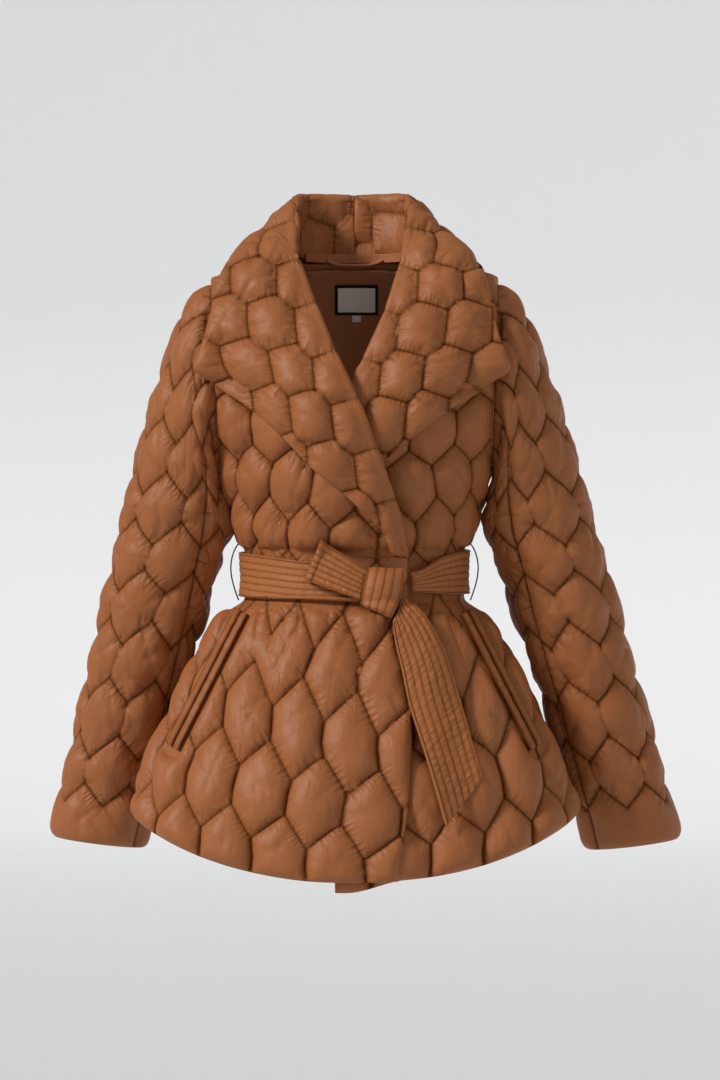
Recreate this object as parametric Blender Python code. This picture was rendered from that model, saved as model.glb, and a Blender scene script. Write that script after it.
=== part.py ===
"""Down coat: a belted wrap coat with turned-back lapels, filled out and hollow.

Frame: metres, +Z up, +X to the wearer's left, -Y to the front. The origin is the middle of
the neck at the height of the shoulder seams, where the wearer's shoulders hold the coat up.

Every cloth piece is a wall: an outer grid of points and the same grid moved in by the wall's
thickness, closed by its rims. The body is one surface of oval sections, and the pieces that
lie on it are made from its points, moved out.
"""
import math

import bmesh
import bpy
import numpy as np

# ---------------------------------------------------------------- driving sizes, metres
SEAM_GAP = 0.0003
SIDE_RADIUS = 0.15
BODY_WALL = 0.008
SLEEVE_WALL = 0.007
COLLAR_WALL = 0.006
LINING_WALL = 0.002
BELT_WALL = 0.003

OVAL_POWER = 2.3
HEM_SIDE = -0.614
HEM_DROP = 0.064
HEM_POWER = 2.3
WAIST = -0.3506
UNDERARM = -0.235
SHOULDER_POINT = (0.160, -0.022)
UNDERARM_POINT = (0.150, UNDERARM)
ARMHOLE_DEPTH = 0.068
FRONT_LIMIT = 0.985
NECK_RING = 0.008
NECK_RING_HALF = 0.077

# The overlap stands off the body by PANEL_STACK over the underlap and by LAPEL_STACK over its
# lapel too; the heights where the lapel starts, and the X and heights over which it all fades.
LAPEL_STACK = 0.0205
PANEL_STACK = 0.0108
STACK_LAPEL_HEIGHTS = (-0.330, -0.298)
STACK_X = (-0.120, -0.036)
STACK_FADE_HEIGHTS = (-0.155, -0.045)

# Body sections: height, half width, front depth, back depth, middle in Y.
BODY_COLUMNS = ("height", "half_width", "front", "back", "middle")
BODY = (
    (-0.710, 0.2570, 0.146, 0.158, -0.030),
    (-0.632, 0.2520, 0.141, 0.152, -0.030),
    (-0.599, 0.2460, 0.137, 0.147, -0.028),
    (-0.562, 0.2330, 0.133, 0.142, -0.025),
    (-0.5376, 0.2230, 0.129, 0.137, -0.022),
    (-0.5085, 0.2095, 0.123, 0.130, -0.018),
    (-0.4794, 0.1970, 0.117, 0.123, -0.014),
    (-0.4460, 0.1800, 0.111, 0.115, -0.009),
    (-0.4234, 0.1670, 0.106, 0.108, -0.005),
    (-0.4010, 0.1530, 0.101, 0.101, -0.002),
    (-0.3860, 0.1385, 0.095, 0.094, -0.001),
    (-0.3760, 0.1255, 0.089, 0.087, 0.000),
    (-0.3506, 0.1240, 0.088, 0.086, 0.000),
    (-0.3260, 0.1245, 0.089, 0.087, 0.000),
    (-0.3114, 0.1300, 0.092, 0.090, 0.000),
    (-0.2890, 0.1370, 0.098, 0.096, 0.000),
    (-0.2600, 0.1455, 0.106, 0.104, 0.000),
    (-0.2350, 0.1500, 0.111, 0.110, 0.000),
    (-0.1900, 0.1600, 0.114, 0.118, 0.000),
    (-0.1400, 0.1700, 0.109, 0.121, 0.000),
    (-0.0900, 0.1700, 0.097, 0.116, 0.000),
    (-0.0500, 0.1650, 0.081, 0.106, 0.000),
    (-0.0220, 0.1600, 0.066, 0.094, 0.000),
    (0.0080, 0.0770, 0.046, 0.075, 0.000),
)

# Sleeve rings: outer point and inner point in X and Z, half depth, middle in Y, seam angle
# on the front between the upper and the under piece (0 outer side, 180 inner side).
SLEEVE_COLUMNS = ("outer_x", "outer_z", "inner_x", "inner_z", "depth", "middle", "seam")
SLEEVE = (
    (0.1600, -0.0220, 0.1500, -0.2350, 0.068, 0.000, 112.0),
    (0.1810, -0.0400, 0.1503, -0.2440, 0.071, 0.000, 114.0),
    (0.1990, -0.0720, 0.1485, -0.2570, 0.071, 0.001, 116.0),
    (0.2130, -0.1110, 0.1452, -0.2720, 0.069, 0.003, 118.0),
    (0.2280, -0.1560, 0.1400, -0.2900, 0.066, 0.005, 120.0),
    (0.2450, -0.2200, 0.1430, -0.3130, 0.063, 0.008, 124.0),
    (0.2620, -0.2890, 0.1540, -0.3500, 0.061, 0.013, 130.0),
    (0.2800, -0.3640, 0.1690, -0.3990, 0.058, 0.020, 136.0),
    (0.2985, -0.4450, 0.1890, -0.4670, 0.055, 0.030, 141.0),
    (0.3160, -0.5170, 0.2075, -0.5350, 0.052, 0.040, 144.0),
    (0.3310, -0.5800, 0.2240, -0.5980, 0.049, 0.048, 145.0),
    (0.3445, -0.6480, 0.2380, -0.6620, 0.047, 0.053, 145.0),
)
# Degrees from a sleeve's seam to each of its two pieces.
SEAM_TURN = 0.22
# Height below which a sleeve swings, and how far it goes outwards and back for each metre.
SWING_FROM = -0.130
SWING_OUT = {"right": 0.0, "left": 0.046}
SWING_BACK = {"right": 0.050, "left": -0.020}

# Collar and lapel stations, from the centre back to the foot of the lapel. The roll is the
# folded edge and the edge is the free one, both as seen from the front; a blank Y is read
# from the body under that point.
COLLAR_COLUMNS = ("roll_x", "roll_y", "roll_z", "edge_x", "edge_y", "edge_z", "bulge", "roll_radius")
COLLAR_RIGHT = (
    (0.0000, 0.0790, 0.0840, 0.0000, 0.1290, -0.026, 0.012, 0.0100),
    (0.0250, 0.0770, 0.0840, 0.0360, 0.1265, -0.025, 0.013, 0.0100),
    (0.0460, 0.0680, 0.0840, 0.0700, 0.1170, -0.021, 0.013, 0.0100),
    (0.0620, 0.0480, 0.0820, 0.1000, 0.1020, -0.014, 0.014, 0.0105),
    (0.0660, 0.0120, 0.0680, 0.1300, 0.0500, -0.003, 0.008, 0.0110),
    (0.0630, -0.0200, 0.0370, 0.1430, 0.0020, -0.001, 0.009, 0.0100),
    (0.0610, -0.0420, 0.0090, 0.1530, -0.0510, -0.0235, 0.014, 0.0080),
    (0.0530, None, -0.0168, 0.1600, -0.0700, -0.062, 0.010, 0.0075),
    (0.0398, None, -0.0515, 0.1686, -0.0800, -0.095, 0.006, 0.0075),
    (0.0263, None, -0.0850, 0.1775, -0.0860, -0.122, 0.006, 0.0075),
    (0.0106, None, -0.1210, 0.1540, -0.0840, -0.141, 0.006, 0.0075),
    (-0.0073, None, -0.1590, 0.1170, None, -0.167, 0.005, 0.0075),
    (-0.0230, None, -0.2016, 0.0756, None, -0.205, 0.005, 0.0075),
    (-0.0375, None, -0.2420, 0.0431, None, -0.238, 0.004, 0.0075),
    (-0.0476, None, -0.2710, 0.0006, None, -0.273, 0.003, 0.0075),
    (-0.0554, None, -0.3010, -0.0280, None, -0.302, 0.002, 0.0072),
    (-0.0610, None, -0.3300, -0.0420, None, -0.330, 0.001, 0.0060),
)
COLLAR_LEFT = (
    (0.0000, 0.0790, 0.0840, 0.0000, 0.1290, -0.026, 0.012, 0.0100),
    (0.0250, 0.0770, 0.0840, 0.0360, 0.1265, -0.025, 0.013, 0.0100),
    (0.0460, 0.0680, 0.0840, 0.0700, 0.1170, -0.021, 0.013, 0.0100),
    (0.0600, 0.0480, 0.0820, 0.1000, 0.1020, -0.014, 0.014, 0.0105),
    (0.0600, 0.0120, 0.0680, 0.1280, 0.0500, -0.003, 0.008, 0.0110),
    (0.0550, -0.0200, 0.0370, 0.1400, 0.0020, 0.000, 0.009, 0.0100),
    (0.0510, -0.0420, 0.0090, 0.1480, -0.0540, -0.021, 0.014, 0.0080),
    (0.0440, None, -0.0200, 0.1530, -0.0700, -0.056, 0.010, 0.0075),
    (0.0342, None, -0.0515, 0.1600, -0.0800, -0.086, 0.006, 0.0075),
    (0.0218, None, -0.0829, 0.1720, -0.0860, -0.122, 0.006, 0.0075),
    (0.0073, None, -0.1120, 0.1473, -0.0840, -0.142, 0.006, 0.0075),
    (-0.0062, None, -0.1411, 0.1137, None, -0.1646, 0.004, 0.0072),
    (-0.0170, None, -0.1747, 0.0778, None, -0.1904, 0.002, 0.0070),
    (-0.0250, None, -0.2106, 0.0454, None, -0.2162, 0.001, 0.0070),
    (-0.0310, None, -0.2486, 0.0151, None, -0.2442, 0.000, 0.0070),
    (-0.0330, None, -0.2740, -0.0040, None, -0.2670, 0.000, 0.0070),
    (-0.0340, None, -0.2880, -0.0170, None, -0.2850, 0.000, 0.0070),
)
STAND_INSET = 0.0095
STAND_LIP = 0.0015
COLLAR_CLEAR = 0.0048
COLLAR_REACH = 0.140
ROLL_CLEAR = 0.0005
STAND_FRONT_Y = -0.03
FRONT_FOOT_OUT = 0.010
FRONT_FOOT_DROP = 0.004
FOLD_SETBACK = 0.0170
CHEST_FROM = 6

# Front edges below the waist: height, and X of each front's free edge.
EDGE_COLUMNS = ("height", "overlap", "underlap")
FRONT_EDGE = (
    (-0.7000, 0.0440, -0.0200),
    (-0.6000, 0.0535, -0.0208),
    (-0.5250, 0.0588, -0.0213),
    (-0.4000, 0.0588, -0.0216),
    (-0.3550, 0.0590, -0.0216),
)

# The underlap's hem hangs lower near its free edge, fading over these X and depths.
UNDERLAP_DROP = 0.012
UNDERLAP_DROP_X = (-0.010, 0.055)
UNDERLAP_DROP_DEPTH = (0.600, 0.672)

# Inside of the back neck, its boxes as low X, high X, low Z, high Z.
FACING_HEIGHTS = (-0.200, -0.160, -0.120, -0.085, -0.055, -0.030, -0.012, 0.002)
FACING_HALF = 0.062
FACING_FLARE = 0.045
FACING_FLARE_DEPTH = 0.12
FACING_CLEAR = 0.0010
TAPE_HEIGHTS = (0.0030, 0.0105, 0.0170)
TAPE_HALF = 0.054
TAPE_INSET = 0.0112
TAPE_WALL = 0.0008
LABEL_BOX = (-0.0230, 0.0275, -0.0496, -0.0138)
LABEL_BORDER = 0.0034
LABEL_WALL = 0.0008
LABEL_CLEAR = 0.0012
TAB_BOX = (-0.0028, 0.0073, -0.0580, -0.0503)
HANGER_RADIUS = 0.0016
HANGER_HALF = 0.0315
HANGER_MIDDLE = 0.0010
HANGER_END_RISE = 0.0055

# Belt: its path round the waist as shares of the way, with the heights of its two edges.
BELT_CLEAR = 0.0018
BELT_STEPS = 37
BELT_LIFT_FADE = (0.062, 0.100)
KNOT_LEFT_EDGE = 0.0050
KNOT_RIGHT_EDGE = 0.0570
BELT_PATH_COLUMNS = ("turn", "low", "high")
BELT_PATH = (
    (0.00, -0.3850, -0.3360),
    (0.06, -0.3835, -0.3345),
    (0.14, -0.3790, -0.3290),
    (0.26, -0.3745, -0.3245),
    (0.50, -0.3730, -0.3220),
    (0.74, -0.3720, -0.3210),
    (0.86, -0.3718, -0.3222),
    (0.93, -0.3712, -0.3290),
    (1.00, -0.3690, -0.3475),
)

# Knot rows from top to foot: both edges as seen from the front, and how far each row rises.
KNOT_COLUMNS = ("left_x", "left_z", "right_x", "right_z", "rise")
KNOT = (
    (0.0150, -0.3400, 0.0560, -0.3420, 0.004),
    (0.0135, -0.3450, 0.0555, -0.3490, 0.013),
    (0.0115, -0.3530, 0.0545, -0.3590, 0.018),
    (0.0095, -0.3620, 0.0520, -0.3700, 0.020),
    (0.0078, -0.3710, 0.0475, -0.3820, 0.018),
    (0.0068, -0.3790, 0.0430, -0.3920, 0.013),
    (0.0075, -0.3830, 0.0400, -0.3970, 0.005),
)
KNOT_BACKING = 0.001
KNOT_EDGE_SHARE = 0.62
KNOT_ROUNDNESS = 0.6

# Short end: its corners at the knot and at its far edge, X and Z.
SHORT_KNOT_TOP = (0.0138, -0.3435)
SHORT_KNOT_LOW = (0.0058, -0.3765)
SHORT_FAR_TOP = (-0.0364, -0.3114)
SHORT_FAR_LOW = (-0.0543, -0.3550)
SHORT_KNOT_LIFT = 0.0035
SHORT_CLEAR = 0.0006
SHORT_WALL = 0.0045
SHORT_SWELL = 0.003

# Hanging end, from the knot down: both edges as seen from the front.
TAIL_COLUMNS = ("left_x", "left_z", "right_x", "right_z")
TAIL = (
    (0.0420, -0.3985, 0.0572, -0.3720),
    (0.0440, -0.4180, 0.0800, -0.3960),
    (0.0510, -0.4490, 0.1010, -0.4370),
    (0.0590, -0.4870, 0.1120, -0.4720),
    (0.0700, -0.5220, 0.1220, -0.5080),
    (0.0815, -0.5580, 0.1300, -0.5380),
    (0.0920, -0.5940, 0.1365, -0.5600),
    (0.0990, -0.6180, 0.1385, -0.5680),
)
TAIL_CLEAR = 0.0009
TAIL_KNOT_LIFT = 0.0030
TAIL_KNOT_HEIGHTS = (-0.430, -0.385)
TAIL_OVERLAP_FADE = (0.075, 0.125)

# Thread loops at the side seams, standing off the coat round the belt.
LOOP_RADIUS = 0.0008
LOOP_TOP = -0.3160
LOOP_FOOT = -0.3788
LOOP_CLEAR = 0.0012
LOOP_STAND = 0.0100
CORD_STEPS = 9

# Pocket welts, as seen from the front on the left side.
WELT_TOP = (0.1240, -0.3900)
WELT_FOOT = (0.1990, -0.5380)
WELT_WIDTH = 0.0080
WELT_CLEAR = 0.0010
WELT_RISE = 0.0055
WELT_EDGE_RISE = 0.55
WELT_STEPS = 9

# Rows and columns of the grids.
SKIRT_ROWS = (HEM_SIDE, -0.588, -0.553, -0.517, -0.478, -0.442, -0.410, -0.388, -0.376, WAIST, -0.326,
              -0.305, -0.272)
SHOULDER_ROWS = (-0.013, -0.003, 0.0025, NECK_RING)
ARMHOLE_STEPS = 8
NORMAL_STEP = 0.002
AROUND_STEP = 1.0
STAND_SHARES = (0.0, 0.55)
ROLL_TURNS = (0.0, 45.0, 90.0, 135.0, 180.0)
FALL_SHARES = (0.17, 0.34, 0.52, 0.68, 0.84, 1.0)

CLOTH = ("#A5673D", 0.55)
CLOTH_INSIDE = ("#7A4627", 0.60)
CLOTH_BELT = ("#A8693F", 0.55)
LABEL_DARK = ("#17130F", 0.80)
LABEL_PALE = ("#CFC8BC", 0.70)
THREAD = ("#2E1A10", 0.80)


# ---------------------------------------------------------------- small helpers
def srgb_to_linear(code):
    """Linear RGB from a hex colour."""
    values = [int(code[i:i + 2], 16) / 255.0 for i in (1, 3, 5)]
    return [v / 12.92 if v <= 0.04045 else ((v + 0.055) / 1.055) ** 2.4 for v in values]


def material(name, finish):
    """A Principled material of one colour and roughness."""
    made = bpy.data.materials.get(name)
    if made is None:
        code, roughness = finish
        made = bpy.data.materials.new(name)
        made.use_nodes = True
        shader = made.node_tree.nodes["Principled BSDF"]
        shader.inputs["Base Color"].default_value = (*srgb_to_linear(code), 1.0)
        shader.inputs["Roughness"].default_value = roughness
        shader.inputs["Metallic"].default_value = 0.0
    return made


def column(table, names, name):
    """One named column of a table as an array."""
    return np.array([row[names.index(name)] for row in table], dtype=float)


def smooth(knots, values, where):
    """Smooth curve through (knots, values) that never overshoots, knots rising."""
    where = np.clip(where, knots[0], knots[-1])
    secants = np.diff(values) / np.diff(knots)
    slopes = np.concatenate([secants[:1], (secants[1:] + secants[:-1]) / 2, secants[-1:]])
    product = secants[1:] * secants[:-1]
    total = np.where(product > 0, secants[1:] + secants[:-1], 1.0)
    slopes[1:-1] = np.where(product > 0, 2 * product / total, 0.0)
    index = np.clip(np.searchsorted(knots, where, side="right") - 1, 0, len(knots) - 2)
    span = knots[index + 1] - knots[index]
    t = (where - knots[index]) / span
    rise = values[index + 1] - values[index]
    start = slopes[index] * span
    end = slopes[index + 1] * span
    return (values[index] + start * t + (3 * rise - 2 * start - end) * t ** 2
            + (start + end - 2 * rise) * t ** 3)


def ramp(value, low, high):
    """0 below low, 1 above high, smooth between."""
    t = np.clip((value - low) / (high - low), 0.0, 1.0)
    return t * t * (3 - 2 * t)


def unit(vectors):
    """Vectors scaled to length one."""
    vectors = np.asarray(vectors, dtype=float)
    return vectors / np.maximum(np.linalg.norm(vectors, axis=-1, keepdims=True), 1e-12)


# ---------------------------------------------------------------- the body surface
BODY_HEIGHTS = column(BODY, BODY_COLUMNS, "height")
BODY_HALF = column(BODY, BODY_COLUMNS, "half_width")
BODY_FRONT = column(BODY, BODY_COLUMNS, "front")
BODY_BACK = column(BODY, BODY_COLUMNS, "back")
BODY_MIDDLE = column(BODY, BODY_COLUMNS, "middle")
ARMHOLE_MIDDLE = (np.array(SHOULDER_POINT) + np.array(UNDERARM_POINT)) / 2
ARMHOLE_HALF = (np.array(SHOULDER_POINT) - np.array(UNDERARM_POINT)) / 2


def armhole_at(height):
    """X and depth in Y of the armhole's edge at a height between underarm and shoulder."""
    level = np.clip((height - ARMHOLE_MIDDLE[1]) / ARMHOLE_HALF[1], -1.0, 1.0)
    return ARMHOLE_MIDDLE[0] + ARMHOLE_HALF[0] * level, ARMHOLE_DEPTH * np.sqrt(1 - level ** 2)


def section(height, face):
    """Half width, depth and middle of the body's oval at a height, face -1 front, +1 back."""
    height = np.asarray(height, dtype=float)
    depth = smooth(BODY_HEIGHTS, BODY_FRONT if face < 0 else BODY_BACK, height)
    middle = smooth(BODY_HEIGHTS, BODY_MIDDLE, height)
    half = smooth(BODY_HEIGHTS, BODY_HALF, height)
    arm_x, arm_y = armhole_at(height)
    through = arm_x / (1 - (arm_y / depth) ** OVAL_POWER) ** (1 / OVAL_POWER)
    shoulder = SHOULDER_POINT[0] + (NECK_RING_HALF - SHOULDER_POINT[0]) * (
        (height - SHOULDER_POINT[1]) / (NECK_RING - SHOULDER_POINT[1]))
    half = np.where(height > UNDERARM, through, half)
    half = np.where(height > SHOULDER_POINT[1], shoulder, half)
    return half, depth, middle


def front_y(x, height):
    """Y of the body's front at X and height, level past the armhole's edge."""
    half, depth, middle = section(height, -1)
    ratio = np.clip(np.abs(x) / half, 0.0, FRONT_LIMIT)
    return middle - depth * (1 - ratio ** OVAL_POWER) ** (1 / OVAL_POWER)


def body_point(angle, height, face):
    """Point and outward normal at an angle round the oval (0 at +X, pi/2 the middle).

    Below the waist the rows sag towards the middle, so that the lowest one is the hem.
    """
    angle, height = np.broadcast_arrays(np.asarray(angle, float), np.asarray(height, float))
    reach = np.abs(np.cos(angle)) ** (2 / OVAL_POWER)
    sag = HEM_DROP * (1 - reach ** HEM_POWER) * ramp(WAIST - height, 0.02, WAIST - HEM_SIDE)
    level = height - sag
    half, depth, middle = section(level, face)
    x = half * np.sign(np.cos(angle)) * reach
    y = middle + face * depth * np.abs(np.sin(angle)) ** (2 / OVAL_POWER)
    half_up, depth_up, middle_up = section(level + NORMAL_STEP, face)
    half_down, depth_down, middle_down = section(level - NORMAL_STEP, face)
    gx = OVAL_POWER * np.abs(x / half) ** (OVAL_POWER - 1) / half * np.sign(x)
    gy = OVAL_POWER * np.abs((y - middle) / depth) ** (OVAL_POWER - 1) / depth * face
    above = np.abs(x / half_up) ** OVAL_POWER + np.abs((y - middle_up) / depth_up) ** OVAL_POWER
    below = np.abs(x / half_down) ** OVAL_POWER + np.abs((y - middle_down) / depth_down) ** OVAL_POWER
    normal = unit(np.stack([gx, gy, (above - below) / (2 * NORMAL_STEP)], axis=-1))
    return np.stack([x, y, level], axis=-1), normal


# ---------------------------------------------------------------- meshes
def add_object(name, points, faces, finish):
    """A mesh object of its own in the coat's collection."""
    mesh = bpy.data.meshes.new(name)
    mesh.from_pydata([tuple(p) for p in points], [], faces)
    shape = bmesh.new()
    shape.from_mesh(mesh)
    bmesh.ops.recalc_face_normals(shape, faces=shape.faces)
    shape.to_mesh(mesh)
    shape.free()
    mesh.shade_smooth()
    mesh.set_sharp_from_angle(angle=math.radians(50))
    made = bpy.data.objects.new(name, mesh)
    made.data.materials.append(material(f"{name}_finish", finish))
    COAT.objects.link(made)
    return made


def wall(name, outer, inner, finish):
    """A closed wall between two grids of the same size: skins plus the four rims."""
    rows, cols = outer.shape[:2]
    points = np.concatenate([outer.reshape(-1, 3), inner.reshape(-1, 3)])
    offset = rows * cols
    faces = []
    for r in range(rows - 1):
        for c in range(cols - 1):
            a, b = r * cols + c, r * cols + c + 1
            d, e = a + cols, b + cols
            faces += [(a, b, e), (a, e, d)]
            faces += [(offset + a, offset + e, offset + b), (offset + a, offset + d, offset + e)]
    border = [(0, c) for c in range(cols)]
    border += [(r, cols - 1) for r in range(1, rows)]
    border += [(rows - 1, c) for c in range(cols - 2, -1, -1)]
    border += [(r, 0) for r in range(rows - 2, 0, -1)]
    for (r0, c0), (r1, c1) in zip(border, border[1:] + border[:1]):
        a, b = r0 * cols + c0, r1 * cols + c1
        if a < b:
            faces += [(b, a, offset + b), (a, offset + a, offset + b)]
        else:
            faces += [(b, a, offset + a), (b, offset + a, offset + b)]
    return add_object(name, points, faces, finish)


def cord(name, points, radius, finish):
    """A round cord along a list of points, with filled caps."""
    curve = bpy.data.curves.new(name, "CURVE")
    curve.dimensions = "3D"
    curve.bevel_depth = radius
    curve.bevel_resolution = 2
    curve.use_fill_caps = True
    spline = curve.splines.new("POLY")
    spline.points.add(len(points) - 1)
    for place, point in zip(spline.points, points):
        place.co = (*point, 1.0)
    made = bpy.data.objects.new(name, curve)
    made.data.materials.append(material(f"{name}_finish", finish))
    COAT.objects.link(made)
    return made


# ---------------------------------------------------------------- fronts and back
def panel_heights():
    """Heights of the rows: skirt and waist, then the armhole, then the shoulder."""
    turns = np.linspace(math.pi, 0.0, ARMHOLE_STEPS + 1)
    armhole = ARMHOLE_MIDDLE[1] + ARMHOLE_HALF[1] * np.cos(turns)
    return np.array(SKIRT_ROWS), armhole, np.array(SHOULDER_ROWS)


def side_angle(height, face):
    """Angle of a panel's outer edge: the side seam, the armhole or the shoulder seam."""
    half, _, _ = section(height, face)
    arm_x, _ = armhole_at(height)
    inside = (height > UNDERARM) & (height < SHOULDER_POINT[1])
    reach = np.clip(arm_x / half, 0.0, 1.0) ** (OVAL_POWER / 2)
    return np.where(inside, np.arccos(reach), 0.0)


def lapel_stack(x, height):
    """How far the overlap stands off the body: over the underlap, and over its lapel too."""
    rise = PANEL_STACK + (LAPEL_STACK - PANEL_STACK) * ramp(height, *STACK_LAPEL_HEIGHTS)
    return rise * ramp(x, *STACK_X) * (1 - ramp(height, *STACK_FADE_HEIGHTS))


def from_armhole(points, side):
    """Unit vectors to points from the middle of an armhole."""
    return unit(points - np.array([side * ARMHOLE_MIDDLE[0], 0.0, ARMHOLE_MIDDLE[1]]))


def panel_grid(inner_angle, face, side, cols, extra=None):
    """Outer and inner grids of a panel between its inner edge and its side.

    inner_angle(height) gives the inner edge's angle from the side, and side is -1 or +1.
    """
    skirt, armhole, shoulder = panel_heights()
    heights = np.concatenate([skirt, armhole, shoulder])
    outer_rows, inner_rows = [], []
    for height in heights:
        start = float(inner_angle(height))
        end = float(side_angle(height, face))
        on_armhole = UNDERARM - 1e-6 <= height <= SHOULDER_POINT[1] + 1e-6
        gap = 0.0 if on_armhole else SEAM_GAP / 2 / SIDE_RADIUS
        angles = np.linspace(start, end + gap, cols)
        if side < 0:
            angles = math.pi - angles
        points, normals = body_point(angles, height, face)
        lift = np.zeros(cols) if extra is None else extra(points[:, 0], points[:, 2])
        outer = points + lift[:, None] * np.array([0.0, face, 0.0])
        inner = outer - normals * BODY_WALL
        if on_armhole:
            at_corner = end < 1e-6
            if at_corner:
                outer[-1, 1] += face * SEAM_GAP / 2
            inner[-1] = outer[-1] - BODY_WALL * from_armhole(outer[-1], side)
            if at_corner:
                inner[-1, 1] = outer[-1, 1]
        outer_rows.append(outer)
        inner_rows.append(inner)
    return np.array(outer_rows), np.array(inner_rows)


def edge_angle(x, height, face, side):
    """Angle at which the oval at this height has this X, measured from the side."""
    half, _, _ = section(height, face)
    ratio = np.clip(side * x / half, -0.999, 0.999)
    return np.arccos(np.sign(ratio) * np.abs(ratio) ** (OVAL_POWER / 2))


def roll_edge_x(table, side, height):
    """X of a front's edge under its lapel: the roll line, set back by the fold."""
    roll_z = column(table, COLLAR_COLUMNS, "roll_z")[CHEST_FROM:][::-1]
    roll_x = column(table, COLLAR_COLUMNS, "roll_x")[CHEST_FROM:][::-1]
    return side * (np.interp(height, roll_z, roll_x) + FOLD_SETBACK)


def front_inner_x(which, height):
    """X of the free edge of a front, from the hem up to the neck."""
    heights = column(FRONT_EDGE, EDGE_COLUMNS, "height")
    name = "overlap" if which == "right" else "underlap"
    below = np.interp(height, heights, column(FRONT_EDGE, EDGE_COLUMNS, name))
    table, side = (COLLAR_RIGHT, -1) if which == "right" else (COLLAR_LEFT, 1)
    above = roll_edge_x(table, side, height)
    foot = table[-1][COLLAR_COLUMNS.index("roll_z")]
    return np.where(height < foot, below, above)


def underlap_drop(points):
    """How much lower the underlap's hem hangs, most of all at its free edge."""
    near_edge = 1 - ramp(points[..., 0], *UNDERLAP_DROP_X)
    return UNDERLAP_DROP * near_edge * ramp(-points[..., 2], *UNDERLAP_DROP_DEPTH)


def front_panel(which, side, cols):
    """A front from its free edge round to the side seam."""
    face = -1
    extra = lapel_stack if which == "right" else None

    def inner_angle(height):
        sagged = body_point(math.pi / 2, height, face)[0][2]
        return edge_angle(front_inner_x(which, float(sagged)), height, face, side)

    outer, inner = panel_grid(inner_angle, face, side, cols, extra)
    if which == "left":
        drop = underlap_drop(outer)
        outer[..., 2] -= drop
        inner[..., 2] -= drop
    return wall(f"front_{which}", outer, inner, CLOTH)


def back_panel(cols):
    """The back, from side seam to side seam."""
    halves = [panel_grid(lambda height: math.pi / 2, 1, side, cols) for side in (-1, 1)]
    outer = np.concatenate([halves[0][0][:, ::-1], halves[1][0][:, 1:]], axis=1)
    inner = np.concatenate([halves[0][1][:, ::-1], halves[1][1][:, 1:]], axis=1)
    return wall("back", outer, inner, CLOTH)


# ---------------------------------------------------------------- sleeves
def sleeve_rows(which):
    """The sleeve's table with the side's swing outwards and back added."""
    parts = {name: column(SLEEVE, SLEEVE_COLUMNS, name) for name in SLEEVE_COLUMNS}
    drop = np.maximum(2 * SWING_FROM - parts["inner_z"], 0.0)
    for line in ("outer", "inner"):
        parts[f"{line}_x"] += SWING_OUT[which] * np.maximum(SWING_FROM - parts[f"{line}_z"], 0.0)
    parts["middle"] += SWING_BACK[which] * drop
    return np.stack([parts[name] for name in SLEEVE_COLUMNS], axis=1)


def sleeve_ring(row, angles, side):
    """Points of one ring; angle 0 is the outer side, 90 the front, 180 the inner side."""
    outer_x, outer_z, inner_x, inner_z, depth, middle, _ = row
    centre = np.array([(outer_x + inner_x) / 2, middle, (outer_z + inner_z) / 2])
    across = np.array([(outer_x - inner_x) / 2, 0.0, (outer_z - inner_z) / 2])
    turn = np.radians(angles)[:, None]
    points = centre + np.cos(turn) * across + np.sin(turn) * np.array([0.0, -depth, 0.0])
    points[:, 0] *= side
    return points


def sleeve_piece(which, side, part, cols):
    """The upper or the under piece of a sleeve."""
    rows = sleeve_rows(which)
    outer, inner = [], []
    for index, row in enumerate(rows):
        seam = row[SLEEVE_COLUMNS.index("seam")]
        if part == "upper":
            angles = np.linspace(SEAM_TURN - seam, seam - SEAM_TURN, cols)
        else:
            angles = np.linspace(seam + SEAM_TURN, 360.0 - seam - SEAM_TURN, cols)
        ring = sleeve_ring(row, angles, side)
        around = sleeve_ring(row, angles + AROUND_STEP, side) - sleeve_ring(row, angles - AROUND_STEP, side)
        low = rows[max(index - 1, 0)]
        high = rows[min(index + 1, len(rows) - 1)]
        along = sleeve_ring(high, angles, side) - sleeve_ring(low, angles, side)
        normal = unit(np.cross(around, along)) * side
        if index == 0:
            normal = from_armhole(ring, side)
            ring = ring + np.array([side * SEAM_GAP, 0.0, 0.0])
        outer.append(ring)
        inner.append(ring - SLEEVE_WALL * normal)
    return wall(f"sleeve_{which}_{part}", np.array(outer), np.array(inner), CLOTH)


# ---------------------------------------------------------------- collar and lapels
def stand_foot(x, y):
    """Foot of the collar's stand: the neck ring moved in, at the angle of a roll point."""
    half, depth, _ = section(NECK_RING, 1 if y > 0 else -1)
    across, deep = half - STAND_INSET, depth - STAND_INSET
    scale = (abs(x / across) ** OVAL_POWER + abs(y / deep) ** OVAL_POWER) ** (-1 / OVAL_POWER)
    return np.array([x * scale, y * scale, NECK_RING + SEAM_GAP])


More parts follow.
